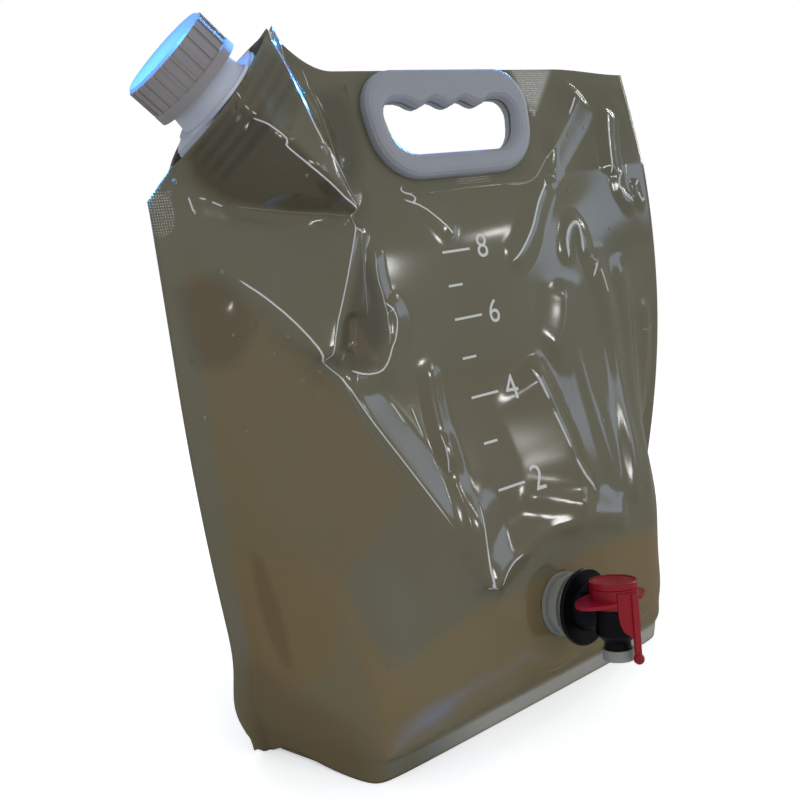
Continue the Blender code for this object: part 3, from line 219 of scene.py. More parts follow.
def filmMaterial(name):
    # Smoky co-extruded PE film, blown and heat sealed: it gives the eye crisp gloss over a
    # milky olive depth, with a fine diamond emboss wherever the sealing bars pressed it.
    # Its crease crests and the emboss's raised points are painted near-white, a painted highlight
    gloss = [filmLook[key] for key in ("roughness", "alpha", "specular", "ior")]
    made, tree, shader = plainMaterial(name, filmLook["colour"], *gloss)
    tone = addNode(tree, "ShaderNodeAttribute", attribute_name="tone")
    parts = addNode(tree, "ShaderNodeSeparateColor", {0: tone.outputs["Color"]})
    place = addNode(tree, "ShaderNodeTexCoord")
    cloud = addNode(tree, "ShaderNodeTexNoise", {"Vector": place.outputs["Object"]}, Detail=3.0)
    cloud.inputs["Scale"].default_value = 1000 / filmLook["cloudWidth"]
    base = addNode(tree, "ShaderNodeMix", {0: cloud.outputs["Fac"]}, data_type="RGBA")
    base.inputs[6].default_value = toLinear(filmLook["colour"])
    base.inputs[7].default_value = toLinear(filmLook["cloud"])
    warm = addNode(tree, "ShaderNodeMix", {0: parts.outputs["Red"], 6: base.outputs[2]}, data_type="RGBA")
    warm.inputs[7].default_value = toLinear(filmLook["warm"])
    dark = addNode(tree, "ShaderNodeMix", {0: parts.outputs["Green"], 6: warm.outputs[2]}, data_type="RGBA")
    dark.inputs[7].default_value = toLinear(filmLook["dark"])
    pale = addNode(tree, "ShaderNodeMix", {0: parts.outputs["Blue"], 6: dark.outputs[2]}, data_type="RGBA")
    pale.inputs[7].default_value = toLinear(filmLook["pale"])

    # Diamond emboss on the sealed bands, from the flat cut's own millimetres
    uv = addNode(tree, "ShaderNodeUVMap", uv_map="flatCut")
    axes = addNode(tree, "ShaderNodeSeparateXYZ", {0: uv.outputs[0]})
    turn = math.pi / (filmLook["knurlPitch"] * mm)
    waves = []
    for operation in ("ADD", "SUBTRACT"):
        mixed = addNode(tree, "ShaderNodeMath", {0: axes.outputs[0], 1: axes.outputs[1]}, operation=operation)
        scaled = addNode(tree, "ShaderNodeMath", {0: mixed.outputs[0]}, operation="MULTIPLY")
        scaled.inputs[1].default_value = turn
        waves.append(addNode(tree, "ShaderNodeMath", {0: scaled.outputs[0]}, operation="SINE"))
    crossed = {0: waves[0].outputs[0], 1: waves[1].outputs[0]}
    diamond = addNode(tree, "ShaderNodeMath", crossed, operation="MULTIPLY")
    sealed = addNode(tree, "ShaderNodeAttribute", attribute_name="sealed")
    onSeal = {0: diamond.outputs[0], 1: sealed.outputs["Fac"]}
    raised = addNode(tree, "ShaderNodeMath", onSeal, operation="MULTIPLY")
    emboss = addNode(tree, "ShaderNodeBump", {"Height": raised.outputs[0]}, Strength=1.0)
    emboss.inputs["Distance"].default_value = filmLook["knurlDepth"] * mm
    # Painted glint: the emboss's raised points are painted pale, where the sealing bars' diamonds catch the
    # light
    dots = addNode(tree, "ShaderNodeMapRange", {"Value": raised.outputs[0]})
    dots.inputs["From Min"].default_value = filmLook["dotFrom"]
    dots.inputs["From Max"].default_value = filmLook["dotTo"]
    dots.inputs["To Max"].default_value = filmLook["glintShare"]
    glinted = addNode(tree, "ShaderNodeMix", {0: dots.outputs[0], 6: pale.outputs[2]}, data_type="RGBA")
    glinted.inputs[7].default_value = toLinear(filmLook["paintedHighlight"])
    ripple = addNode(tree, "ShaderNodeTexNoise", {"Vector": place.outputs["Object"]}, Detail=0.0)
    ripple.inputs["Scale"].default_value = 1000 / filmLook["rippleWidth"]
    overEmboss = {"Height": ripple.outputs["Fac"], "Normal": emboss.outputs[0]}
    rippled = addNode(tree, "ShaderNodeBump", overEmboss, Strength=1.0)
    rippled.inputs["Distance"].default_value = filmLook["rippleDepth"] * mm

    # The sharp crest of each crease, from how far the surface point lies from the crease line
    near = addNode(tree, "ShaderNodeAttribute", attribute_name="creaseNear")
    rise = addNode(tree, "ShaderNodeAttribute", attribute_name="creaseRise")
    nearParts = addNode(tree, "ShaderNodeSeparateColor", {0: near.outputs["Color"]})
    riseParts = addNode(tree, "ShaderNodeSeparateColor", {0: rise.outputs["Color"]})
    distances = [*nearParts.outputs, near.outputs["Alpha"]]
    rises = [*riseParts.outputs, rise.outputs["Alpha"]]
    height = None
    for distance, share in zip(distances, rises):
        spread = addNode(tree, "ShaderNodeMath", {0: distance, 1: distance}, operation="MULTIPLY")
        below = addNode(tree, "ShaderNodeMath", {0: spread.outputs[0]}, operation="MULTIPLY_ADD")
        below.inputs[1].default_value = 1 / filmLook["creaseHalf"] ** 2
        below.inputs[2].default_value = 1.0
        crest = addNode(tree, "ShaderNodeMath", {0: share, 1: below.outputs[0]}, operation="DIVIDE")
        if height:
            summed = {0: height.outputs[0], 1: crest.outputs[0]}
            crest = addNode(tree, "ShaderNodeMath", summed, operation="ADD")
        height = crest
    overRipple = {"Height": height.outputs[0], "Normal": rippled.outputs[0]}
    creased = addNode(tree, "ShaderNodeBump", overRipple, Strength=1.0)
    creased.inputs["Distance"].default_value = filmLook["creaseHeight"] * mm
    tree.links.new(creased.outputs[0], shader.inputs["Normal"])

    # Painted highlight: each crease's crest is painted near-white, where a sharp fold catches the light
    white = addNode(tree, "ShaderNodeMapRange", {"Value": height.outputs[0]})
    white.inputs["From Min"].default_value = filmLook["highlightFrom"]
    white.inputs["From Max"].default_value = filmLook["highlightTo"]
    paintedHighlight = addNode(tree, "ShaderNodeMix", {0: white.outputs[0], 6: glinted.outputs[2]}, data_type="RGBA")
    paintedHighlight.inputs[7].default_value = toLinear(filmLook["paintedHighlight"])
    tree.links.new(paintedHighlight.outputs[2], shader.inputs["Base Color"])
    return made


film = filmMaterial("blown_pe_film")


mouldedLook = {  # width and depth in mm
    "flowWidth": 22.2,
    "duller": 0.07,
    "shinier": 0.05,
    "poreDepth": 0.02,
    "poreStrength": 0.35,
}


def mouldedMaterial(name, colour, shade, roughness, grain, alpha=1.0, specular=0.5):
    # An even colour with a faint flow tint, and a fine grain whose size is in mm
    made, tree, shader = plainMaterial(name, colour, roughness, alpha, specular)
    place = addNode(tree, "ShaderNodeTexCoord")
    flow = addNode(tree, "ShaderNodeTexNoise", {"Vector": place.outputs["Object"]}, Detail=3.0)
    flow.inputs["Scale"].default_value = 1000 / mouldedLook["flowWidth"]
    tint = addNode(tree, "ShaderNodeMix", {0: flow.outputs["Fac"]}, data_type="RGBA")
    tint.inputs[6].default_value = toLinear(colour)
    tint.inputs[7].default_value = toLinear(shade)
    tree.links.new(tint.outputs[2], shader.inputs["Base Color"])
    pores = addNode(tree, "ShaderNodeTexNoise", {"Vector": place.outputs["Object"]}, Detail=2.0)
    pores.inputs["Scale"].default_value = 1000 / grain
    rough = addNode(tree, "ShaderNodeMapRange", {"Value": flow.outputs["Fac"]})
    rough.inputs["To Min"].default_value = roughness - mouldedLook["shinier"]
    rough.inputs["To Max"].default_value = roughness + mouldedLook["duller"]
    tree.links.new(rough.outputs[0], shader.inputs["Roughness"])
    skin = addNode(tree, "ShaderNodeBump", {"Height": pores.outputs["Fac"]})
    skin.inputs["Strength"].default_value = mouldedLook["poreStrength"]
    skin.inputs["Distance"].default_value = mouldedLook["poreDepth"] * mm
    tree.links.new(skin.outputs[0], shader.inputs["Normal"])
    return made


# Grey polyethylene of the grip: a soft, waxy sheen over an even cool grey
greyPe = mouldedMaterial("moulded_grey_polyethylene", "#909298", "#888A90", 0.38, 0.9)
# The cap's polyethylene: the same waxy sheen on a slightly warmer grey
capPe = mouldedMaterial("moulded_grey_cap_polyethylene", "#8C8A8B", "#7E7571", 0.38, 0.9)
# Pale polyethylene of the neck: brighter, and a little shinier from a polished mould
neckPe = mouldedMaterial("moulded_pale_polyethylene", "#BEC2CE", "#B2B6C2", 0.32, 0.9)
# Natural polyethylene of the gland and dust cap: milky, and it lets a little light through
clearPe = mouldedMaterial("natural_polyethylene", "#96968C", "#88877D", 0.3, 0.8, 0.82)
# Black polypropylene of the tap: nearly no colour, only small soft highlights
blackPp = mouldedMaterial("moulded_black_polypropylene", "#08080D", "#060609", 0.30, 0.6, 1.0, 0.3)
# Red polypropylene of the collar, button and tab: deep colour with a clean gloss
redPp = mouldedMaterial("moulded_red_polypropylene", "#920C1C", "#820A18", 0.26, 0.6)
# Seal rubber: dull and even, without a highlight
softSeal = mouldedMaterial("moulded_seal_rubber", "#8C8C88", "#7E7E7A", 0.55, 0.7)

nodeFinish = {
    "cap_liner": softSeal,
    "barrel_seal": softSeal,
    "dome_spring": softSeal,
    "valve_plug": softSeal,
    "valve_stem": blackPp,
    "tap_gland": clearPe,
    "nozzle_cap": clearPe,
    "tap_body": blackPp,
    "finger_collar": redPp,
    "push_button": redPp,
    "tamper_tab": redPp,
    "spout_neck": neckPe,
    "screw_cap": capPe,
    "handle_front": greyPe,
    "handle_back": greyPe,
}
for nodeName, material in nodeFinish.items():
    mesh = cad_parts[nodeName].data
    mesh.materials.clear()
    mesh.materials.append(material)


# Pouch film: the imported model's own outline and depth, in millimetres
pouch = {
    "height": 357,
    "topSeal": 297,
    "halfWidth": 176,
    "leftShare": 178 / 176,
    "rightShare": 174 / 176,
    "bow": 33,
    "bowPower": 2.8,
    "topLean": 22,
    "footNarrowing": 21,
    "topNarrowing": 5,
    "widestAt": 0.62,
    "seal": 9,
    "skirt": 12,
    "footDepth": 61,
    "belly": 14,
    "softReach": 24,  # the depth's steps are softened over this height, but not at the foot
    "softRise": (10, 26),
    "cornerFoot": 116,
    "cornerTop": 58,
    "cornerRound": 0.22,
    "roundRise": (6, 36),
    "footRound": 0.16,
    "rightFull": 20,  # the right side is fuller, at this height and spread, from one x to another
    "fullAt": (118, 52),
    "fullSide": (60, 110),
    "seamSag": 6.5,  # the left seam is drawn in near the foot
    "sagAt": (34, 24),
    "sagSide": (0.8, 1.0),
    "backSlack": 0.6,  # the back hangs flatter on its right
    "slackSide": (30, 110),
    "slackRise": (15, 65),
    "peakX": -93,
    "peakRise": 22,
    "peakRun": 34,
    "peakPower": 2.0,
    "crestRound": 3.2,
    "stripFrom": 335,
    "cornerDrop": 4.0,
    "dropSide": (105, 171),
    "footReach": 16,  # what shapes the skirt's lower edge fades out by this height
    "cornerNotch": 4.8,
    "notchAt": 141,
    "notchWidth": 10,
    "notchSide": (-148, -144),
    "edgeRise": 4,
    "edgeReach": 5,
    "filmGap": 0.3,
    "filmThickness": 0.35,
    "flatCut": (356, 400),
    "flatArea": 0.125,  # in square metres
    "weldBlend": 1.5,
    "foldFromSeam": (4, 14),  # folds start this far from a seam and from the floor
    "foldRise": (10, 20),
    "gripFlat": (68, 35),  # half length and half height of the flat film round the grip
    "gripFlatEdge": 1 / 6,
    "tapFlatAt": (9.2, 68.8),
    "tapFlat": (28, 46),  # the film lies in the gland's plane inside, and follows its own shape outside
    "tapFold": (30, 46),
    "tapProud": 0.35,
    "columns": 196,  # finer from the spout's corner to the throat
    "columnPlaces": ((-1.0, -0.96, 0.0, 1.0), (-1.0, -0.955, -0.28, 1.0)),
    "rows": 186,  # finer above the top seal
    "rowPlaces": ((-1.0, 0.29, 1.0), (0.0, 0.77, 1.0)),
}
slackDepths = (  # share of the top seal's height, share of the full depth
    (0.0, 0.813), (0.04, 0.813), (0.08, 0.94), (0.14, 1.0), (0.32, 0.81), (0.455, 0.57),
    (0.555, 0.38), (0.65, 0.25), (0.77, 0.16), (0.915, 0.10), (1.0, 0.0), (1.4, 0.0),
)
depthHeights = np.arange(0, pouch["topSeal"] * slackDepths[-1][0], 1.0)
hardDepths = (pouch["footDepth"] + pouch["belly"]) * np.interp(
    depthHeights / pouch["topSeal"], [h for h, d in slackDepths], [d for h, d in slackDepths]
)
reach = pouch["softReach"]
window = np.exp(-0.5 * (np.arange(-reach, reach + 1) / (reach / 3)) ** 2)
softDepths = np.convolve(np.pad(hardDepths, reach, mode="edge"), window / window.sum(), "valid")
softShare = np.clip((depthHeights - pouch["softRise"][0]) / np.ptp(pouch["softRise"]), 0, 1)
depthTable = hardDepths + (softDepths - hardDepths) * softShare


def smooth(value):
    value = np.clip(value, 0, 1)
    return value * value * (3 - 2 * value)


def ramp(value, start, end):
    # Rises softly from 0 at the start to 1 at the end
    return smooth((value - start) / (end - start))


def bell(value, centre, spread):
    return np.exp(-(((value - centre) / spread) ** 2))


def seamY(z):
    # The side seams bow back up to the top seal, and the strip above it leans back straight
    low = pouch["bow"] * (np.clip(z, 0, pouch["topSeal"]) / pouch["topSeal"]) ** pouch["bowPower"]
    high = pouch["bow"] + (z - pouch["topSeal"]) * math.tan(math.radians(pouch["topLean"]))
    return np.where(z > pouch["topSeal"], high, low)


def seamHalf(z):
    # Half the pouch's width, widest a little above its middle
    widest = pouch["widestAt"] * pouch["height"]
    low = np.sin(math.pi / 2 * np.clip((z - pouch["skirt"]) / (widest - pouch["skirt"]), 0, 1))
    high = np.clip((z - widest) / (pouch["height"] - widest), 0, 2)
    below = pouch["halfWidth"] - pouch["footNarrowing"] * (1 - low)
    above = pouch["halfWidth"] - pouch["topNarrowing"] * high**2
    return np.where(z < widest, below, above)


def baseDepth(x, z):
    # How far a panel stands out from the seams' own plane, before its folds
    down = np.clip((z - pouch["skirt"]) / (pouch["topSeal"] - pouch["skirt"]), 0, 1)
    corner = pouch["cornerFoot"] + (pouch["cornerTop"] - pouch["cornerFoot"]) * down
    corner = corner + pouch["rightFull"] * bell(z, *pouch["fullAt"]) * ramp(x, *pouch["fullSide"])
    outer = seamHalf(z) - pouch["seal"]
    share = (outer - np.abs(x)) / (outer - corner)
    rounding = pouch["cornerRound"] * ramp(z, *pouch["roundRise"]) + pouch["footRound"]
    share = (share + 1 - np.sqrt((share - 1) ** 2 + rounding**2)) / 2
    return np.interp(z, depthHeights, depthTable) * np.clip(share, 0, 1)


# Frames of the spout, the grip and the tap, in metres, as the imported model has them
fittings = {  # places in mm, angles in degrees
    "spoutX": -129.8,
    "spoutLevel": 343.7,
    "spoutTurn": 44.5,
    "spoutSwing": 5,
    "gripX": 13,
    "gripLevel": 328,
    "tapAt": (9.25, -67.82, 68.95),
    "tapYaw": 6,
    "tapTilt": 17,
    "tapRoll": 9,
}


def frameMatrix(xAxis, yAxis, zAxis, origin):
    turned = Matrix((xAxis, yAxis, zAxis)).transposed().to_4x4()
    return Matrix.Translation(origin) @ turned


def onSeam(x, z):
    return Vector((x, float(seamY(z)), z)) * mm


lean = math.radians(pouch["topLean"])
across = Vector((1, 0, 0))
upPanel = Vector((0, math.sin(lean), math.cos(lean)))
panelFront = Vector((0, -math.cos(lean), math.sin(lean)))
gripFrame = frameMatrix(across, upPanel, panelFront, onSeam(fittings["gripX"], fittings["gripLevel"]))

spoutTurn = math.radians(fittings["spoutTurn"])
spoutSwing = math.radians(fittings["spoutSwing"])
spoutInPlane = -math.sin(spoutTurn) * across + math.cos(spoutTurn) * upPanel
spoutAxis = math.cos(spoutSwing) * spoutInPlane + math.sin(spoutSwing) * panelFront
cutLine = math.cos(spoutTurn) * across + math.sin(spoutTurn) * upPanel
spoutOrigin = onSeam(fittings["spoutX"], fittings["spoutLevel"])
spoutFrame = frameMatrix(cutLine, spoutAxis.cross(cutLine), spoutAxis, spoutOrigin)

yaw = math.radians(fittings["tapYaw"])
tilt = math.radians(fittings["tapTilt"])
roll = math.radians(fittings["tapRoll"])
tapOut = Vector((math.sin(yaw) * math.cos(tilt), -math.cos(yaw) * math.cos(tilt), math.sin(tilt)))
levelUp = Vector((-math.sin(yaw) * math.sin(tilt), math.cos(yaw) * math.sin(tilt), math.cos(tilt)))
tapUp = math.cos(roll) * levelUp + math.sin(roll) * levelUp.cross(tapOut)
tapOrigin = Vector(fittings["tapAt"]) * mm
tapFrame = frameMatrix(tapUp.cross(tapOut), tapUp, tapOut, tapOrigin)


# Folds of each film: how far the crest stands out, how far its left and right flanks run at the
# path's start and end, how sharp it is, how far each end fades, and the path as (x, height), in mm
frontFolds = {
    "peakRidge": (8, (7, 5), (18, 12), 1.2, (0, 8), [
        (-96, 378), (-95.5, 367), (-96, 355), (-94.7, 346), (-93, 334.6), (-88, 322), (-78, 310),
        (-69.5, 297.6), (-67.5, 285),
    ]),
    "peakValley": (-2.5, (10, 6), (8, 4), 1.3, (6, 8), [
        (-76, 356), (-73, 345), (-72, 325), (-67, 300), (-65, 284),
    ]),
    "shoulderRidge": (6, (14, 5), (34, 8), 1.4, (6, 8), [
        (-123.7, 337), (-120, 335), (-110.4, 328), (-111, 325), (-105.3, 318.8), (-97.8, 312.4),
        (-85.1, 303.3), (-70, 291), (-67, 285),
    ]),
    "shoulderFoot": (-2.0, (12, 6), (10, 8), 1.8, (15, 10), [
        (-149, 301), (-140, 297), (-124, 294.8), (-101.8, 290.8), (-75, 287.3),
    ]),
    "neckRidge": (5, (8, 12), (30, 34), 1.4, (6, 6), [
        (-67, 285), (-70, 281), (-76.4, 270.5), (-85.3, 251.8), (-94.7, 233.3), (-102, 217),
    ]),
    "sideCrest": (3, (26, 14), (22, 16), 1.5, (16, 6), [
        (-138.8, 262.1), (-128.4, 253.3), (-117.3, 241.8), (-108, 228.8), (-102, 217),
    ]),
    "bellyRidge": (6, (14, 22), (30, 34), 1.5, (6, 40), [
        (-99, 216), (-93, 204), (-87, 190), (-79, 175), (-73, 164), (-62, 142), (-50, 118), (-44, 100),
    ]),
    "hollowEdge": (1.6, (4, 5), (3, 5), 1.2, (8, 6), [
        (-60, 272), (-63, 256), (-61, 243), (-62, 228), (-64, 219),
    ]),
    "hook": (2.2, (8, 9), (8, 8), 1.3, (5, 5), [
        (-61, 242), (-57.5, 238), (-55.6, 233.8), (-56.5, 229), (-61.3, 220.4), (-66, 212.3),
        (-72, 207.7), (-82, 208.5), (-91, 212.4),
    ]),
    "hollow": (-4, (12, 14), (10, 12), 1.8, (6, 6), [
        (-80, 240), (-80, 226), (-84, 216),
    ]),
    "tapFoldLeft": (5, (16, 18), (9, 9), 1.3, (26, 3), [
        (-37, 150), (-35, 136), (-37, 121), (-41, 104), (-42, 93),
    ]),
    "tapFoldRight": (5, (14, 12), (9, 9), 1.3, (3, 12), [
        (-42, 93), (-34, 99), (-26, 102), (-12, 104), (7, 107), (24, 109), (46, 109), (62, 104), (82, 97),
    ]),
    "scaleFold": (6.0, (10, 9), (34, 40), 1.2, (12, 12), [
        (31, 198), (34, 190), (39, 177), (42, 163), (45, 149), (45, 139), (48, 129), (57, 116),
    ]),
    "bellyCrown": (2.6, (10, 9), (10, 9), 2.0, (12, 10), [
        (-4, 130), (12, 125), (30, 122), (48, 116),
    ]),
    "gripCreaseLeft": (2.2, (9, 7), (8, 7), 1.3, (3, 8), [
        (-31, 297), (-22, 289), (-12, 278), (-4, 269),
    ]),
    "gripCreaseRight": (2.4, (9, 9), (9, 9), 1.3, (6, 8), [
        (78, 294), (69, 285), (61, 276), (52, 264), (44, 256), (31, 250),
    ]),
    "shoulderSeal": (3.4, (18, 12), (12, 10), 1.4, (6, 8), [
        (124, 346), (114, 335), (104, 326), (92, 315), (80, 303), (70, 295),
    ]),
    "arch": (2.6, (6, 6), (5, 5), 1.5, (8, 8), [
        (82, 244), (83, 254), (87, 263), (93, 268), (98, 262), (100, 252), (100, 243),
    ]),
    "upperRight": (2.6, (8, 8), (8, 8), 1.4, (6, 8), [
        (149, 334), (144, 322), (141, 310), (139, 291),
    ]),
    "curlA": (2.0, (5, 5), (5, 5), 1.4, (4, 4), [
        (147, 296), (143, 289), (144, 281), (149, 275), (157, 272),
    ]),
    "curlB": (1.6, (4, 4), (4, 4), 1.4, (3, 3), [
        (163, 288), (161, 282), (164, 275), (169, 271),
    ]),
    "crown": (3.4, (26, 20), (22, 18), 1.9, (14, 10), [
        (73, 240), (72, 228), (69, 216), (60, 203), (48, 196),
    ]),
    "rightFoldA": (3.2, (10, 9), (12, 9), 1.4, (10, 10), [
        (108, 252), (109, 238), (115, 215), (116, 180), (104, 140), (86, 103),
    ]),
    "rightFoldB": (1.2, (10, 7), (10, 7), 1.5, (16, 8), [
        (78, 205), (80, 170), (78, 135), (80, 103),
    ]),
    "rightFoldC": (2.6, (9, 8), (11, 9), 1.5, (14, 10), [
        (132, 245), (136, 210), (133, 170), (122, 135), (100, 104),
    ]),
    "edgeFold": (2.4, (8, 8), (8, 8), 1.5, (12, 12), [
        (158, 215), (161, 190), (158, 160), (150, 130),
    ]),
    "streakA": (1.8, (7, 7), (6, 6), 1.3, (10, 10), [
        (-40, 210), (-43, 180), (-42, 166), (-45, 150),
    ]),
    "streakB": (2.2, (6, 8), (6, 8), 1.3, (10, 12), [
        (-43, 174), (-41, 152), (-44, 128), (-46, 104),
    ]),
    "leftSag": (-2.0, (14, 16), (14, 18), 2.2, (14, 24), [
        (-150, 262), (-138, 250), (-127, 230), (-106, 208), (-92, 180),
    ]),
    "footLeft": (1.6, (18, 12), (16, 12), 1.8, (20, 4), [
        (-128, 120), (-121, 92), (-114, 68), (-112, 40), (-114, 14),
    ]),
    "sideDent": (-1.8, (8, 8), (8, 8), 1.6, (10, 10), [
        (-150, 120), (-147, 96), (-143, 66),
    ]),
}
backFolds = {
    "spoutFold": (6, (16, 14), (26, 22), 1.5, (8, 30), [
        (-100, 330), (-82, 300), (-70, 270), (-72, 230),
    ]),
    "spoutFoot": (-2.5, (12, 10), (12, 10), 1.8, (12, 10), [
        (-156, 300), (-120, 288), (-84, 272),
    ]),
    "slackLeft": (5, (22, 22), (24, 24), 1.5, (20, 40), [
        (-120, 250), (-92, 215), (-76, 170), (-66, 120),
    ]),
    "slackRight": (5, (22, 22), (24, 24), 1.5, (20, 40), [
        (118, 262), (92, 220), (70, 170), (62, 118),
    ]),
    "crossFold": (3, (12, 12), (14, 14), 1.4, (16, 16), [
        (-60, 232), (-20, 214), (24, 218), (66, 238),
    ]),
    "gripFold": (2.2, (9, 9), (9, 9), 1.3, (6, 12), [
        (-44, 292), (-16, 262), (10, 248),
    ]),
    "shoulderFold": (2.6, (12, 10), (10, 10), 1.4, (6, 8), [
        (126, 344), (104, 320), (84, 298),
    ]),
    "footFold": (2.4, (12, 12), (12, 12), 1.6, (16, 16), [
        (-40, 120), (-10, 96), (34, 92), (70, 112),
    ]),
}

# Sharp crease lines: group, strength, path in mm, and how far each end fades. The lines of one
# group stay apart, because a point of the film keeps one distance for each group
frontCreases = [
    (0, 1.3, [(-96, 378), (-95.5, 367), (-96, 355), (-94.7, 346), (-93, 334.6), (-89, 323)], (0, 2)),
    (1, 1.3, [(-86, 322), (-78, 310), (-69.5, 297.6), (-67.5, 285)], (1, 1)),
    (3, 0.7, [(-78, 360), (-75.5, 352), (-77, 340), (-74, 325), (-67, 301), (-66, 285)], (4, 2)),
    (2, 1.2, [
        (-123.7, 337), (-120, 335), (-110.4, 328), (-110.4, 325.8), (-112, 324.6), (-105.3, 318.8),
        (-97.8, 312.4), (-85.1, 303.3), (-70, 291), (-67.5, 285),
    ], (1, 1)),
    (3, 0.45, [(-140, 297), (-124, 294.8), (-101.8, 290.8), (-75, 287.3), (-66, 285)], (8, 3)),
    (3, 1.3, [(-151, 301), (-147, 300)], (1, 1)),
    (3, 1.3, [(-145, 299), (-139, 296)], (1, 2)),
    (2, 1.4, [(-156, 302), (-155, 294)], (1, 2)),
    (0, 1.0, [(-68, 285), (-70, 281), (-76.4, 270.5), (-85.3, 251.8), (-94.7, 233.3), (-102, 217)], (1, 2)),
    (2, 1.4, [
        (-141, 264), (-138.8, 262.1), (-128.4, 253.3), (-117.3, 241.8), (-108, 228.8), (-102, 217),
    ], (8, 1)),
    (1, 0.9, [
        (-102, 217), (-93, 204), (-87, 190), (-79, 175), (-73, 164), (-62, 142), (-50, 118),
    ], (1, 26)),
    (3, 0.35, [(-97, 212), (-88, 183), (-76, 158), (-67, 138)], (3, 14)),
    (2, 0.5, [(-67, 279), (-69, 262), (-71, 244), (-72, 230)], (3, 10)),
    (3, 0.6, [(-60, 270), (-63, 256), (-61, 243), (-62, 228), (-64, 219)], (4, 4)),
    (1, 1.2, [
        (-61, 242), (-57.5, 238), (-55.6, 233.8), (-56.5, 229), (-61.3, 220.4), (-66, 212.3),
        (-72, 207.7), (-82, 208.5), (-91, 212.4),
    ], (2, 3)),
    (0, 0.4, [(-84, 216), (-80, 222), (-77, 235), (-83, 234), (-85, 218)], (1, 1)),
    (0, 1.6, [(-33, 136), (-38, 117), (-42, 99), (-41, 92)], (6, 1)),
    (3, 1.3, [(-41, 92), (-34, 98), (-26, 102), (-12, 105)], (1, 6)),
    (3, 0.3, [(-12, 105), (7, 107), (24, 109), (46, 109), (62, 104), (82, 97)], (3, 12)),
    (1, 3.4, [(31, 192), (34, 184), (37, 174)], (4, 4)),
    (1, 2.6, [(38, 168), (41, 156), (43, 146)], (2, 3)),
    (2, 3.6, [(44, 141), (48, 129), (57, 118)], (3, 4)),
    (2, 1.2, [(-31, 298), (-33, 295), (-24, 292), (-28, 289)], (1, 1)),
    (0, 1.2, [(-33, 291), (-22, 287), (-12, 278), (-4, 269)], (1, 6)),
    (1, 0.35, [(-30, 294), (-10, 293), (20, 294), (44, 294)], (3, 6)),
    (3, 1.9, [(77, 293), (66, 283), (61, 277), (55, 269), (44, 258), (33, 251)], (3, 5)),
    (0, 1.4, [(118, 341), (113, 335), (108, 330)], (2, 3)),
    (0, 0.5, [(106, 327), (104, 324), (88, 310), (73, 297), (67, 294), (59, 293), (44, 294)], (3, 6)),
    (1, 3.4, [(82, 248), (82, 257), (86, 265), (94, 269), (97, 263), (97, 249)], (3, 3)),
    (2, 2.0, [(146, 330), (142, 316), (138, 292)], (3, 5)),
    (3, 3.4, [(150, 294), (144, 291), (143, 283), (156, 275)], (1, 1)),
    (1, 1.6, [(155, 298), (154, 291)], (1, 1)),
    (0, 3.0, [(165, 287), (160, 285)], (1, 1)),
    (0, 3.2, [(162, 280), (167, 273), (169, 276)], (1, 1)),
    (0, 2.6, [(108, 243), (103, 233)], (1, 3)),
    (2, 2.4, [(110, 238), (112, 234), (115, 222)], (1, 3)),
    (2, 0.5, [(152, 192), (162, 189), (170, 193)], (3, 3)),
    (3, 1.1, [(-57, 188), (-54, 170)], (3, 3)),
    (2, 0.9, [(-44, 173), (-44, 162), (-46, 150)], (3, 4)),
    (2, 0.3, [(-44, 150), (-44, 128), (-46, 106)], (5, 8)),
    (0, 1.0, [(-69, 192), (-63, 179)], (2, 3)),
    (3, 0.3, [(-166, 268), (-166, 237), (-164, 193), (-163, 146), (-161, 94)], (10, 10)),
    (0, 1.2, [(-129, 348.3), (-127.7, 345.2)], (0.5, 0.5)),
    (1, 1.2, [(-126.3, 342.5), (-125, 341)], (0.5, 0.5)),
    (3, 1.2, [(-123.2, 339.7), (-121.5, 338.5)], (0.5, 0.5)),
]
backCreases = [
    (0, 0.8, [(-100, 330), (-82, 300), (-70, 270)], (3, 12)),
    (1, 0.6, [(-156, 300), (-120, 288), (-84, 272)], (6, 6)),
    (2, 0.6, [(-60, 232), (-20, 214), (24, 218), (66, 238)], (12, 12)),
    (3, 0.6, [(-44, 292), (-16, 262), (10, 248)], (4, 10)),
    (0, 0.6, [(126, 344), (104, 320), (84, 298)], (4, 8)),
    (1, 0.6, [(-40, 120), (-10, 96), (34, 92), (70, 112)], (12, 12)),
]


def eased(path):
    # A path's points with each corner cut once, so that it bends softly
    points = np.array(path, float)
    if len(points) < 3:
        return points
    early = points[:-1] * 0.75 + points[1:] * 0.25
    late = points[:-1] * 0.25 + points[1:] * 0.75
    between = np.stack([early, late], axis=1).reshape(-1, 2)
    return np.concatenate([points[:1], between[1:-1], points[-1:]])


def alongPath(x, z, path):
    # Distance to a path, which side it is on (positive is left of travel), and the share along it
    points = eased(path)
    steps = np.hypot(*(points[1:] - points[:-1]).T)
    total = steps.sum()
    nearest = np.full(x.shape, 1e9)
    side = np.zeros(x.shape)
    share = np.zeros(x.shape)
    done = 0.0
    for (ax, az), (bx, bz), step in zip(points[:-1], points[1:], steps):
        t = np.clip(((x - ax) * (bx - ax) + (z - az) * (bz - az)) / step**2, 0, 1)
        distance = np.hypot(x - ax - t * (bx - ax), z - az - t * (bz - az))
        closer = distance < nearest
        nearest = np.where(closer, distance, nearest)
        side = np.where(closer, (bx - ax) * (z - az) - (bz - az) * (x - ax), side)
        share = np.where(closer, (done + t * step) / total, share)
        done += step
    return nearest, side, share, total


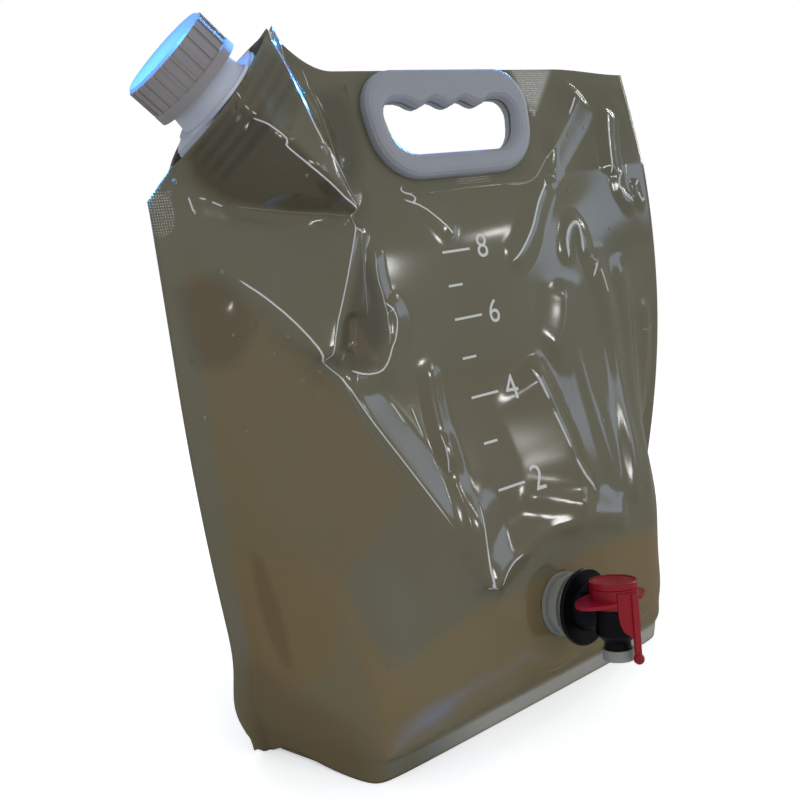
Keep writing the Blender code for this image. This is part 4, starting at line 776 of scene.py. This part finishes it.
def foldLift(x, z, folds):
    # How far all the folds together push the film out
    lift = np.zeros(x.shape)
    for crest, left, right, power, (start, end), path in folds.values():
        nearest, side, share, total = alongPath(x, z, path)
        leftReach = left[0] + (left[1] - left[0]) * share
        rightReach = right[0] + (right[1] - right[0]) * share
        flank = np.where(side > 0, leftReach, rightReach)
        nearest = np.sqrt(nearest**2 + pouch["crestRound"] ** 2) - pouch["crestRound"]
        reach = np.clip(1 - nearest / flank, 0, 1) ** power
        fade = smooth(share * total / start) if start else 1.0
        fade = fade * (smooth((1 - share) * total / end) if end else 1.0)
        lift += crest * reach * fade
    return lift


def creaseLines(x, z, creases):
    # For four groups of creases, the signed distance to the nearest one in mm, and how strong it is
    farAway = 9.0
    near = np.full((len(x), 4), farAway)
    rise = np.zeros((len(x), 4))
    for group, strength, path, ends in creases:
        nearest, side, share, total = alongPath(x, z, path)
        start, end = (max(length, 0.01) for length in ends)
        fade = smooth(share * total / start) * smooth((1 - share) * total / end)
        within = 1 - ramp(nearest, *filmLook["creaseReach"])
        closer = nearest < np.abs(near[:, group])
        near[:, group] = np.where(closer, np.where(side < 0, -nearest, nearest), near[:, group])
        rise[:, group] = np.where(closer, strength * fade * within, rise[:, group])
    return near, rise


def toLocal(matrix, x, y, z):
    # Points in mm as a frame sees them, in mm
    inverse = np.array(matrix.inverted())
    points = np.stack([x * mm, y * mm, z * mm, np.ones(x.shape)])
    return (inverse @ points)[:3] / mm


weldLook = {
    "halfLength": 45,
    "halfWidth": 22.5,
    "depth": 22,
    "channelStart": 16,
    "channelLength": 62,
    "channelFade": (0.8, 1.0),
    "narrowing": 0.75,
    "leastWidth": 0.5,
    "overCut": 8,
    "ribs": (-2.5, -8.3, -14.1, -19.9),
    "ribHeight": 0.16,
    "ribWidth": 1.5,
    "ribEnd": (4, 12),
    "ribTone": 0.28,
}


def weldBulge(x, y, z, side):
    # How far a film stands out round the spout's weld base, with the base's ribs showing
    lx, ly, lz = toLocal(spoutFrame, x, y, z)
    share = np.clip((-lz - weldLook["depth"] - weldLook["channelStart"]) / weldLook["channelLength"], 0, 1)
    length = weldLook["halfLength"] * (1 - weldLook["narrowing"] * share)
    width = np.maximum(weldLook["halfWidth"] * (1 - smooth(share)), weldLook["leastWidth"])
    radius = (length**2 + width**2) / (2 * width)
    arc = np.sqrt(np.maximum(radius**2 - lx**2, 0)) - radius + width
    arc = np.where(np.abs(lx) < length, np.maximum(arc, 0), 0)
    bulge = arc - side * ly * arc / width
    for place in weldLook["ribs"]:
        ridge = bell(lz, place, weldLook["ribWidth"]) * ramp(length - np.abs(lx), *weldLook["ribEnd"])
        bulge = bulge + weldLook["ribHeight"] * ridge
    return np.where(lz < weldLook["overCut"], bulge * (1 - ramp(share, *weldLook["channelFade"])), 0)


def inZone(x, z, corners, blur):
    # 1 inside a polygon and 0 outside, fading over the blur distance
    inside = np.zeros(x.shape, bool)
    closed = list(corners) + [corners[0]]
    for (ax, az), (bx, bz) in zip(closed[:-1], closed[1:]):
        crosses = (az > z) != (bz > z)
        at = ax + (bx - ax) * (z - az) / (bz - az or 1e-9)
        inside ^= crosses & (x < at)
    nearest = alongPath(x, z, closed)[0]
    return smooth(0.5 + np.where(inside, nearest, -nearest) / (2 * blur))


# Tones painted on the film. Inner folds and the gusset seen through it warm and darken the lower
# left; the throat, the weld's surroundings, the hollow and the upper right carry painted shade,
# the hollow's pane and the foot's warmth a painted reflection, and the emboss wedge a painted glint
frontTones = {  # polygon in mm, blur in mm, then how warm, dark and pale
    # painted shade in the throat, whose facets face away from the light
    "throat": ([
        (-156, 320), (-150, 328), (-131.5, 342.6), (-120.6, 336.4), (-107, 326.3), (-93.6, 311.4),
        (-67.6, 290), (-75, 287.3), (-108, 292), (-137.5, 298), (-152, 309.5),
    ], 3, (0.35, 0.8, 0)),
    # painted shade round the spout's weld
    "weld": ([
        (-165, 318), (-128, 350), (-96, 372), (-88, 352), (-107, 330), (-131, 342), (-150, 328),
        (-157, 319),
    ], 3, (0.15, 0.35, 0)),
    # painted glint: the emboss wedge is painted pale
    "wedge": ([(69.5, 358.8), (106.2, 358.7), (97.3, 348.1), (80.7, 329.3)], 2, (0, 0, 0.5)),
    "lowerFlank": ([
        (-166, 268), (-149, 262), (-138, 250), (-124, 231), (-104, 213), (-92, 188), (-76, 150),
        (-118, 112), (-128, 60), (-158, 40), (-163, 150),
    ], 4, (0.6, 0.12, 0)),
    "innerFold": ([
        (-154, 128), (-149, 126), (-143, 96), (-140, 60), (-144, 60), (-151, 92),
    ], 1.5, (0.6, 0.3, 0)),
    "flankTop": ([
        (-172, 262), (-150, 268), (-143, 262), (-132, 240), (-150, 220), (-170, 225),
    ], 5, (0.1, 0.35, 0)),
    "besideGrip": ([(-74, 345), (-52, 350), (-52, 310), (-62, 300), (-70, 305)], 6, (0, 0.42, 0)),
    # painted shade on the upper right, where the film catches no light
    "upperRight": ([(100, 350), (172, 345), (172, 250), (130, 235), (110, 300)], 10, (0, 0.22, 0)),
    # painted shade in the hollow
    "hollow": ([(-68, 272), (-62, 245), (-66, 222), (-80, 208), (-97, 215), (-86, 240)], 4, (0, 0.5, 0)),
    # painted reflection: a warm pane mirrored in the hollow
    "hollowPane": ([(-82, 234), (-77, 235), (-71, 214), (-84, 217)], 1.0, (0.8, 0, 0.05)),
    "belly": ([
        (-121, 112), (-116, 86), (-108, 68), (-98, 70), (-78, 78), (-49, 86), (-20, 96), (20, 100),
        (60, 96), (60, 200), (-60, 200), (-90, 150),
    ], 3, (0.12, 0.04, 0)),
    "flankFoot": ([(-168, 130), (-121, 112), (-113, 60), (-113, -5), (-168, -5)], 10, (0.3, 0.0, 0)),
    # partly a painted reflection: the foot is painted warmer for warm surroundings seen in and through the
    # film
    "foot": ([
        (-119, 108), (-107, 66), (-78, 76), (-49, 84), (40, 92), (120, 80), (150, 60), (116, 14),
        (-114, 14), (-114, 40),
    ], 6, (0.75, 0.0, 0.0)),
    "sideFoot": ([(-156, 60), (-118, 30), (-114, -5), (-160, -5)], 10, (0.5, 0.4, 0)),
}
backTones = {
    "foot": ([(-119, 100), (119, 100), (116, 14), (-116, 14)], 10, (0.25, 0, 0.2)),
    "middle": ([(-90, 240), (90, 240), (70, 120), (-70, 120)], 20, (0.2, 0.2, 0)),
}


sealLook = {  # how strong the sealing bars' emboss and the skirt's painted sheen are, and where, in mm
    "emboss": 0.12,
    "topBand": (303, 309),
    "topGap": (60, 40),
    "topFrom": (-40, -28),
    "footEmboss": 0.6,
    "footFrom": (-116, -108),
    "footSheen": 0.85,
    "sheenFrom": (-100, -30),
    "zoneBlur": 2.5,
}
# in these zones the emboss is full and its raised points carry the painted glint
knurlZones = [  # where the emboss shows most
    [(-180, 306), (-164, 305), (-165, 296), (-168, 287), (-180, 284)],
    [(69.5, 358.8), (106.2, 358.7), (97.3, 348.1), (80.7, 329.3)],
    [(8, 296), (34, 296), (34, 301), (8, 301)],
]
openings = {  # in mm, in the grip's and the gland's own frames
    "gripLevels": (-18, 15),
    "gripHalf": (46.5, 51.5),
    "gripLow": -19.5,
    "gripHigh": 16,
    "tapRadius": 16.6,
}


def softMax(first, second, blend):
    # The larger of two depths, rounded where they meet, and 0 where both are 0
    joined = np.log(np.exp(first / blend) + np.exp(second / blend))
    return blend * (joined - math.log(2) * np.exp(-(first + second) / (2 * blend)))


def shapePanel(bm, side, folds):
    # Lays a flat grid out as the hanging film
    flat = np.array([vert.co[:2] for vert in bm.verts])
    u = np.interp(flat[:, 0], *pouch["columnPlaces"])
    level = np.interp(flat[:, 1], *pouch["rowPlaces"]) * pouch["height"]
    half = seamHalf(level)
    ownHalf = half * np.where(u < 0, pouch["leftShare"], pouch["rightShare"])
    x = u * ownHalf - pouch["seamSag"] * bell(level, *pouch["sagAt"]) * ramp(-u, *pouch["sagSide"])

    # The top strip rises to the spout's peak and drops at the far corner
    strip = ramp(level, pouch["stripFrom"], pouch["height"])
    toPeak = np.clip((pouch["peakX"] + pouch["peakRun"] - x) / pouch["peakRun"], 0, 1)
    rise = pouch["peakRise"] * toPeak ** pouch["peakPower"]
    drop = pouch["cornerDrop"] * ramp(x, *pouch["dropSide"])
    z = level + (rise - drop) * strip

    # The skirt's lower edge has a notch at its left corner and turns up at both ends
    foot = np.clip(1 - level / pouch["footReach"], 0, 1)
    notch = bell(np.abs(x), pouch["notchAt"], pouch["notchWidth"]) * ramp(x, *pouch["notchSide"]) * (x < 0)
    turnUp = np.clip(1 - (half - np.abs(x)) / pouch["edgeReach"], 0, 1) ** 2
    z = z + foot * (pouch["cornerNotch"] * notch + pouch["edgeRise"] * turnUp)

    middle = seamY(z)
    depth = baseDepth(u * half, level)
    if side > 0:
        slack = ramp(x, *pouch["slackSide"]) * ramp(level, *pouch["slackRise"])
        depth = depth * (1 - pouch["backSlack"] * slack)
    depth = np.maximum(softMax(depth, weldBulge(x, middle, z, side), pouch["weldBlend"]), 0)

    gx, gy, gz = toLocal(gripFrame, x, middle, z)
    gripShare = np.maximum(np.abs(gx) / pouch["gripFlat"][0], np.abs(gy) / pouch["gripFlat"][1])
    lift = foldLift(x, z, folds) * ramp(gripShare, 1, 1 + pouch["gripFlatEdge"])
    lift *= ramp(ownHalf - np.abs(x), *pouch["foldFromSeam"]) * ramp(level, *pouch["foldRise"])
    tapFar = np.hypot(x - pouch["tapFlatAt"][0], (z - pouch["tapFlatAt"][1]) / math.cos(tilt))
    if side < 0:
        lift *= ramp(tapFar, *pouch["tapFold"])
    y = middle + side * (np.maximum(depth + lift, 0) + pouch["filmGap"] / 2)
    if side < 0:
        tapX, tapY, tapZ = fittings["tapAt"]
        plane = tapY + pouch["tapProud"] - ((x - tapX) * tapOut.x + (z - tapZ) * tapOut.z) / tapOut.y
        y = y + (plane - y) * (1 - ramp(tapFar, *pouch["tapFlat"]))
    for vert, point in zip(bm.verts, np.stack([x, y, z], axis=1) * mm):
        vert.co = point


def cutPanel(bm, side):
    # Holes for the hand and the tap, hidden by what covers their edges, and the cut corner
    toGrip, toTap = gripFrame.inverted(), tapFrame.inverted()
    low, high = openings["gripLevels"]
    lowHalf, highHalf = openings["gripHalf"]
    gone = []
    for face in bm.faces:
        centre = face.calc_center_median()
        inGrip = (toGrip @ centre) / mm
        gripHalf = lowHalf + (highHalf - lowHalf) * (inGrip.y - low) / (high - low)
        if abs(inGrip.x) < gripHalf and openings["gripLow"] < inGrip.y < openings["gripHigh"]:
            gone.append(face)
        elif side < 0 and (toTap @ centre).xy.length < openings["tapRadius"] * mm:
            gone.append(face)
    bmesh.ops.delete(bm, geom=gone, context="FACES")
    whole = bm.verts[:] + bm.edges[:] + bm.faces[:]
    bmesh.ops.bisect_plane(
        bm, geom=whole, dist=1e-6, plane_co=spoutOrigin, plane_no=spoutAxis, clear_outer=True
    )
    bmesh.ops.recalc_face_normals(bm, faces=bm.faces[:])
    if sum(face.normal.y * face.calc_area() for face in bm.faces) * side < 0:
        bmesh.ops.reverse_faces(bm, faces=bm.faces[:])


def paintPanel(mesh, creases, tones):
    # Stores what the film's material reads: tones, crease lines, sealed bands and the flat cut
    points = np.zeros(len(mesh.vertices) * 3)
    mesh.vertices.foreach_get("co", points)
    px, py, pz = points.reshape(-1, 3).T / mm
    tone = np.zeros((len(px), 4))
    for corners, blur, amounts in tones.values():
        tone[:, :3] += inZone(px, pz, corners, blur)[:, None] * np.array(amounts)
    footBand = 1 - ramp(pz, pouch["skirt"] - 1, pouch["skirt"] + 1)
    # Painted sheen: the sealed skirt band is painted paler, for where its emboss mirrors the floor
    tone[:, 2] += sealLook["footSheen"] * footBand * ramp(px, *sealLook["sheenFrom"])
    lx, ly, lz = toLocal(spoutFrame, px, py, pz)
    ribLength = ramp(weldLook["halfLength"] - np.abs(lx), *weldLook["ribEnd"])
    for place in weldLook["ribs"]:
        tone[:, 1] += weldLook["ribTone"] * bell(lz, place, weldLook["ribWidth"]) * ribLength
    tone = np.clip(tone, 0, 1)
    tone[:, 3] = 1

    sideSeal = ramp(np.abs(px) - seamHalf(pz) + pouch["seal"], -1, 1)
    gapAt, gapWidth = sealLook["topGap"]
    topSeal = ramp(pz, *sealLook["topBand"]) * ramp(np.abs(px - gapAt), 0, gapWidth)
    topSeal = topSeal * ramp(px, *sealLook["topFrom"])
    sealed = sealLook["emboss"] * np.maximum(sideSeal, topSeal)
    sealed = sealed + sealLook["footEmboss"] * footBand * ramp(px, *sealLook["footFrom"])
    for corners in knurlZones:
        sealed = np.maximum(sealed, inZone(px, pz, corners, sealLook["zoneBlur"]))

    creaseNear, creaseRise = creaseLines(px, pz, creases)
    for name, values in (("tone", tone), ("creaseNear", creaseNear), ("creaseRise", creaseRise)):
        attribute = mesh.attributes.new(name, "FLOAT_COLOR", "POINT")
        attribute.data.foreach_set("color", values.astype(np.float32).ravel())
    attribute = mesh.attributes.new("sealed", "FLOAT", "POINT")
    attribute.data.foreach_set("value", sealed.astype(np.float32))
    uv = mesh.uv_layers.new(name="flatCut")
    loops = np.zeros(len(mesh.loops), np.int32)
    mesh.loops.foreach_get("vertex_index", loops)
    uv.data.foreach_set("uv", (np.stack([px, pz], axis=1)[loops] * mm).astype(np.float32).ravel())


def filmPiece(name, side, folds, creases, tones, node):
    # One panel of the pouch: side is -1 for the front and +1 for the back
    bm = bmesh.new()
    bmesh.ops.create_grid(bm, x_segments=pouch["columns"], y_segments=pouch["rows"], size=1.0)
    shapePanel(bm, side, folds)
    cutPanel(bm, side)
    mesh = bpy.data.meshes.new(name)
    bm.to_mesh(mesh)
    bm.free()
    paintPanel(mesh, creases, tones)
    mesh.materials.append(film)
    mesh.shade_smooth()
    made = bpy.data.objects.new(name, mesh)
    bpy.context.scene.collection.objects.link(made)
    wall = made.modifiers.new("thickness", "SOLIDIFY")
    wall.thickness = pouch["filmThickness"] * mm
    wall.offset = 1.0
    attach(made, "pouch")
    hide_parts(node)
    return made


frontFilm = filmPiece("frontFilm", -1, frontFolds, frontCreases, frontTones, "front_panel")
print("front film:", len(frontFilm.data.polygons), "faces")
backFilm = filmPiece("backFilm", 1, backFolds, backCreases, backTones, "back_panel")
print("back film:", len(backFilm.data.polygons), "faces")

# Bottom gusset: a flange welded inside the skirt, then a floor that sags to the ground
gusset = {
    "segments": 128,
    "halfLength": 143,
    "inset": 0.9,
    "foot": 1.0,
    "levels": (  # share of the length, share of the depth, height
        (1.0, 1.0, 12.0), (0.975, 0.92, 10.5), (0.95, 0.82, 6.6), (0.88, 0.68, 2.4), (0.82, 0.55, 0.9),
    ),
    "flatCut": (300, 140),
    "flatArea": 0.036,  # in square metres
}
bm = bmesh.new()
bmesh.ops.create_circle(bm, segments=gusset["segments"], radius=1.0)
bmesh.ops.rotate(bm, verts=bm.verts[:], matrix=Matrix.Rotation(math.pi / gusset["segments"], 3, "Z"))
for vert in bm.verts:
    x = gusset["halfLength"] * vert.co.x
    depth = max(float(baseDepth(np.array([x]), np.array([0.0]))[0]) - gusset["inset"], 1)
    vert.co = Vector((x, math.copysign(depth, vert.co.y), gusset["foot"])) * mm
ring = bm.edges[:]
lastAlong, lastDeep = 1.0, 1.0
for along, deep, height in gusset["levels"]:
    raised = bmesh.ops.extrude_edge_only(bm, edges=ring)["geom"]
    ring = [item for item in raised if isinstance(item, bmesh.types.BMEdge)]
    for vert in {vert for edge in ring for vert in edge.verts}:
        vert.co = Vector((vert.co.x * along / lastAlong, vert.co.y * deep / lastDeep, height * mm))
    lastAlong, lastDeep = along, deep
bmesh.ops.edgeloop_fill(bm, edges=ring)
bmesh.ops.recalc_face_normals(bm, faces=bm.faces[:])
if sum(face.normal.z * face.calc_area() for face in bm.faces) > 0:
    bmesh.ops.reverse_faces(bm, faces=bm.faces[:])
gussetMesh = bpy.data.meshes.new("gussetFilm")
bm.to_mesh(gussetMesh)
bm.free()
gussetMesh.materials.append(film)
gussetFilm = bpy.data.objects.new("gussetFilm", gussetMesh)
bpy.context.scene.collection.objects.link(gussetFilm)
wall = gussetFilm.modifiers.new("thickness", "SOLIDIFY")
wall.thickness = pouch["filmThickness"] * mm
wall.offset = -1.0
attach(gussetFilm, "pouch")
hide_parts("bottom_gusset")
print("gusset film:", len(gussetMesh.polygons), "faces")


# What lies on the front film is dropped onto its finished surface
bpy.context.view_layer.update()
frontTree = BVHTree.FromObject(frontFilm, bpy.context.evaluated_depsgraph_get())


def onFront(x, z):
    # Place and outward normal on the front film for x and height in metres
    place, normal, index, distance = frontTree.ray_cast(Vector((x, -0.5, z)), Vector((0, 1, 0)))
    return place, normal


# Printed level scale: plain ticks with the litres beside them, in white ink
scalePrint = {
    "left": -16,
    "tick": 20,
    "smallTick": 10,
    "stroke": 1.3,
    "number": 13,
    "fontPerHeight": 1.4,
    "gap": 5,
    "levels": {"8": 262, "6": 226, "4": 184, "2": 136},
    "proud": 0.12,
    "longest": 2.2,
    "cutRounds": 5,
}


def inkPiece(name, bm):
    # Cuts flat ink fine enough to follow the film, then lays it on the surface
    for cut in range(scalePrint["cutRounds"]):
        longEdges = [edge for edge in bm.edges if edge.calc_length() > scalePrint["longest"] * mm]
        if longEdges:
            bmesh.ops.subdivide_edges(bm, edges=longEdges, cuts=1, use_grid_fill=True)
            bmesh.ops.triangulate(bm, faces=[face for face in bm.faces if len(face.verts) > 4])
    for vert in bm.verts:
        place, normal = onFront(vert.co.x, vert.co.z)
        vert.co = place + normal * scalePrint["proud"] * mm
    bmesh.ops.recalc_face_normals(bm, faces=bm.faces[:])
    for face in bm.faces:
        if face.normal.y > 0:
            face.normal_flip()
    mesh = bpy.data.meshes.new(name)
    bm.to_mesh(mesh)
    bm.free()
    mesh.materials.append(whiteInk)
    mesh.shade_smooth()
    made = bpy.data.objects.new(name, mesh)
    bpy.context.scene.collection.objects.link(made)
    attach(made, "pouch")
    return made


# Screen printed ink: a flat off-white, as it is thin and the film greys it a little
whiteInk = mouldedMaterial("screen_printed_white_ink", "#C6C8C2", "#BABCB6", 0.3, 0.5)
standing = Matrix.Rotation(math.pi / 2, 4, "X")
bm = bmesh.new()
heights = sorted(scalePrint["levels"].values())
ticks = [(height, scalePrint["tick"]) for height in heights]
ticks += [((low + high) / 2, scalePrint["smallTick"]) for low, high in zip(heights[:-1], heights[1:])]
for height, length in ticks:
    tick = bmesh.ops.create_grid(bm, x_segments=12, y_segments=1, size=0.5)["verts"]
    bmesh.ops.scale(bm, verts=tick, vec=(length * mm, scalePrint["stroke"] * mm, 1))
    bmesh.ops.rotate(bm, verts=tick, matrix=standing.to_3x3())
    bmesh.ops.translate(bm, verts=tick, vec=Vector((scalePrint["left"] + length / 2, 0, height)) * mm)
scaleTicks = inkPiece("scaleTicks", bm)
for litres, height in scalePrint["levels"].items():
    curve = bpy.data.curves.new("number" + litres, "FONT")
    curve.body = litres
    curve.size = scalePrint["number"] * scalePrint["fontPerHeight"] * mm
    curve.align_y = "CENTER"
    lettering = bpy.data.objects.new("number" + litres, curve)
    bpy.context.scene.collection.objects.link(lettering)
    bpy.context.view_layer.update()
    filled = lettering.evaluated_get(bpy.context.evaluated_depsgraph_get())
    flatMesh = bpy.data.meshes.new_from_object(filled)
    bpy.data.objects.remove(lettering)
    bm = bmesh.new()
    bm.from_mesh(flatMesh)
    place = Vector((scalePrint["left"] + scalePrint["tick"] + scalePrint["gap"], 0, height)) * mm
    bmesh.ops.transform(bm, matrix=Matrix.Translation(place) @ standing, verts=bm.verts[:])
    inkPiece("scaleNumber" + litres, bm)
print("level scale printed")


# Drops of water left standing on the film
drops = [  # x, height and radius in mm
    (-161, 309, 1.6), (-147, 267, 1.7), (-102, 310, 1.1), (-95, 286, 1.3), (-120, 233, 1.5), (-105, 213, 1.3),
    (-167, 200, 1.4), (-147, 237, 1.0), (-127, 225, 1.0), (-148, 190, 1.0), (-106, 187, 0.9), (81, 152, 1.3),
    (-38, 188, 1.2), (-110, 200, 0.8), (-135, 170, 0.9), (-118, 172, 0.8), (-128, 205, 0.8), (128, 260, 1.1),
    (96, 286, 1.2), (104, 318, 0.9), (122, 322, 0.9), (-86, 268, 0.9), (-125, 290, 0.9), (20, 215, 0.7),
]
dropShape = {"segments": 10, "rings": 7, "flattened": (1, 1.1, 0.55)}
bm = bmesh.new()
for x, z, radius in drops:
    place, normal = onFront(x * mm, z * mm)
    drop = bmesh.ops.create_uvsphere(
        bm, u_segments=dropShape["segments"], v_segments=dropShape["rings"], radius=radius * mm
    )["verts"]
    bmesh.ops.scale(bm, verts=drop, vec=dropShape["flattened"])
    turn = normal.to_track_quat("Z", "Y").to_matrix().to_4x4()
    bmesh.ops.transform(bm, matrix=Matrix.Translation(place) @ turn, verts=drop)
dropMesh = bpy.data.meshes.new("waterDrops")
bm.to_mesh(dropMesh)
bm.free()
dropMesh.shade_smooth()
waterDrops = bpy.data.objects.new("waterDrops", dropMesh)
bpy.context.scene.collection.objects.link(waterDrops)
# Water: a sharp bright highlight on a drop that mostly shows the film under it
water = mouldedMaterial("standing_water", "#8C8C7E", "#7E7E70", 0.06, 0.5, 0.55, 1.0)
dropMesh.materials.append(water)
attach(waterDrops, "pouch")
print("drops placed:", len(drops))
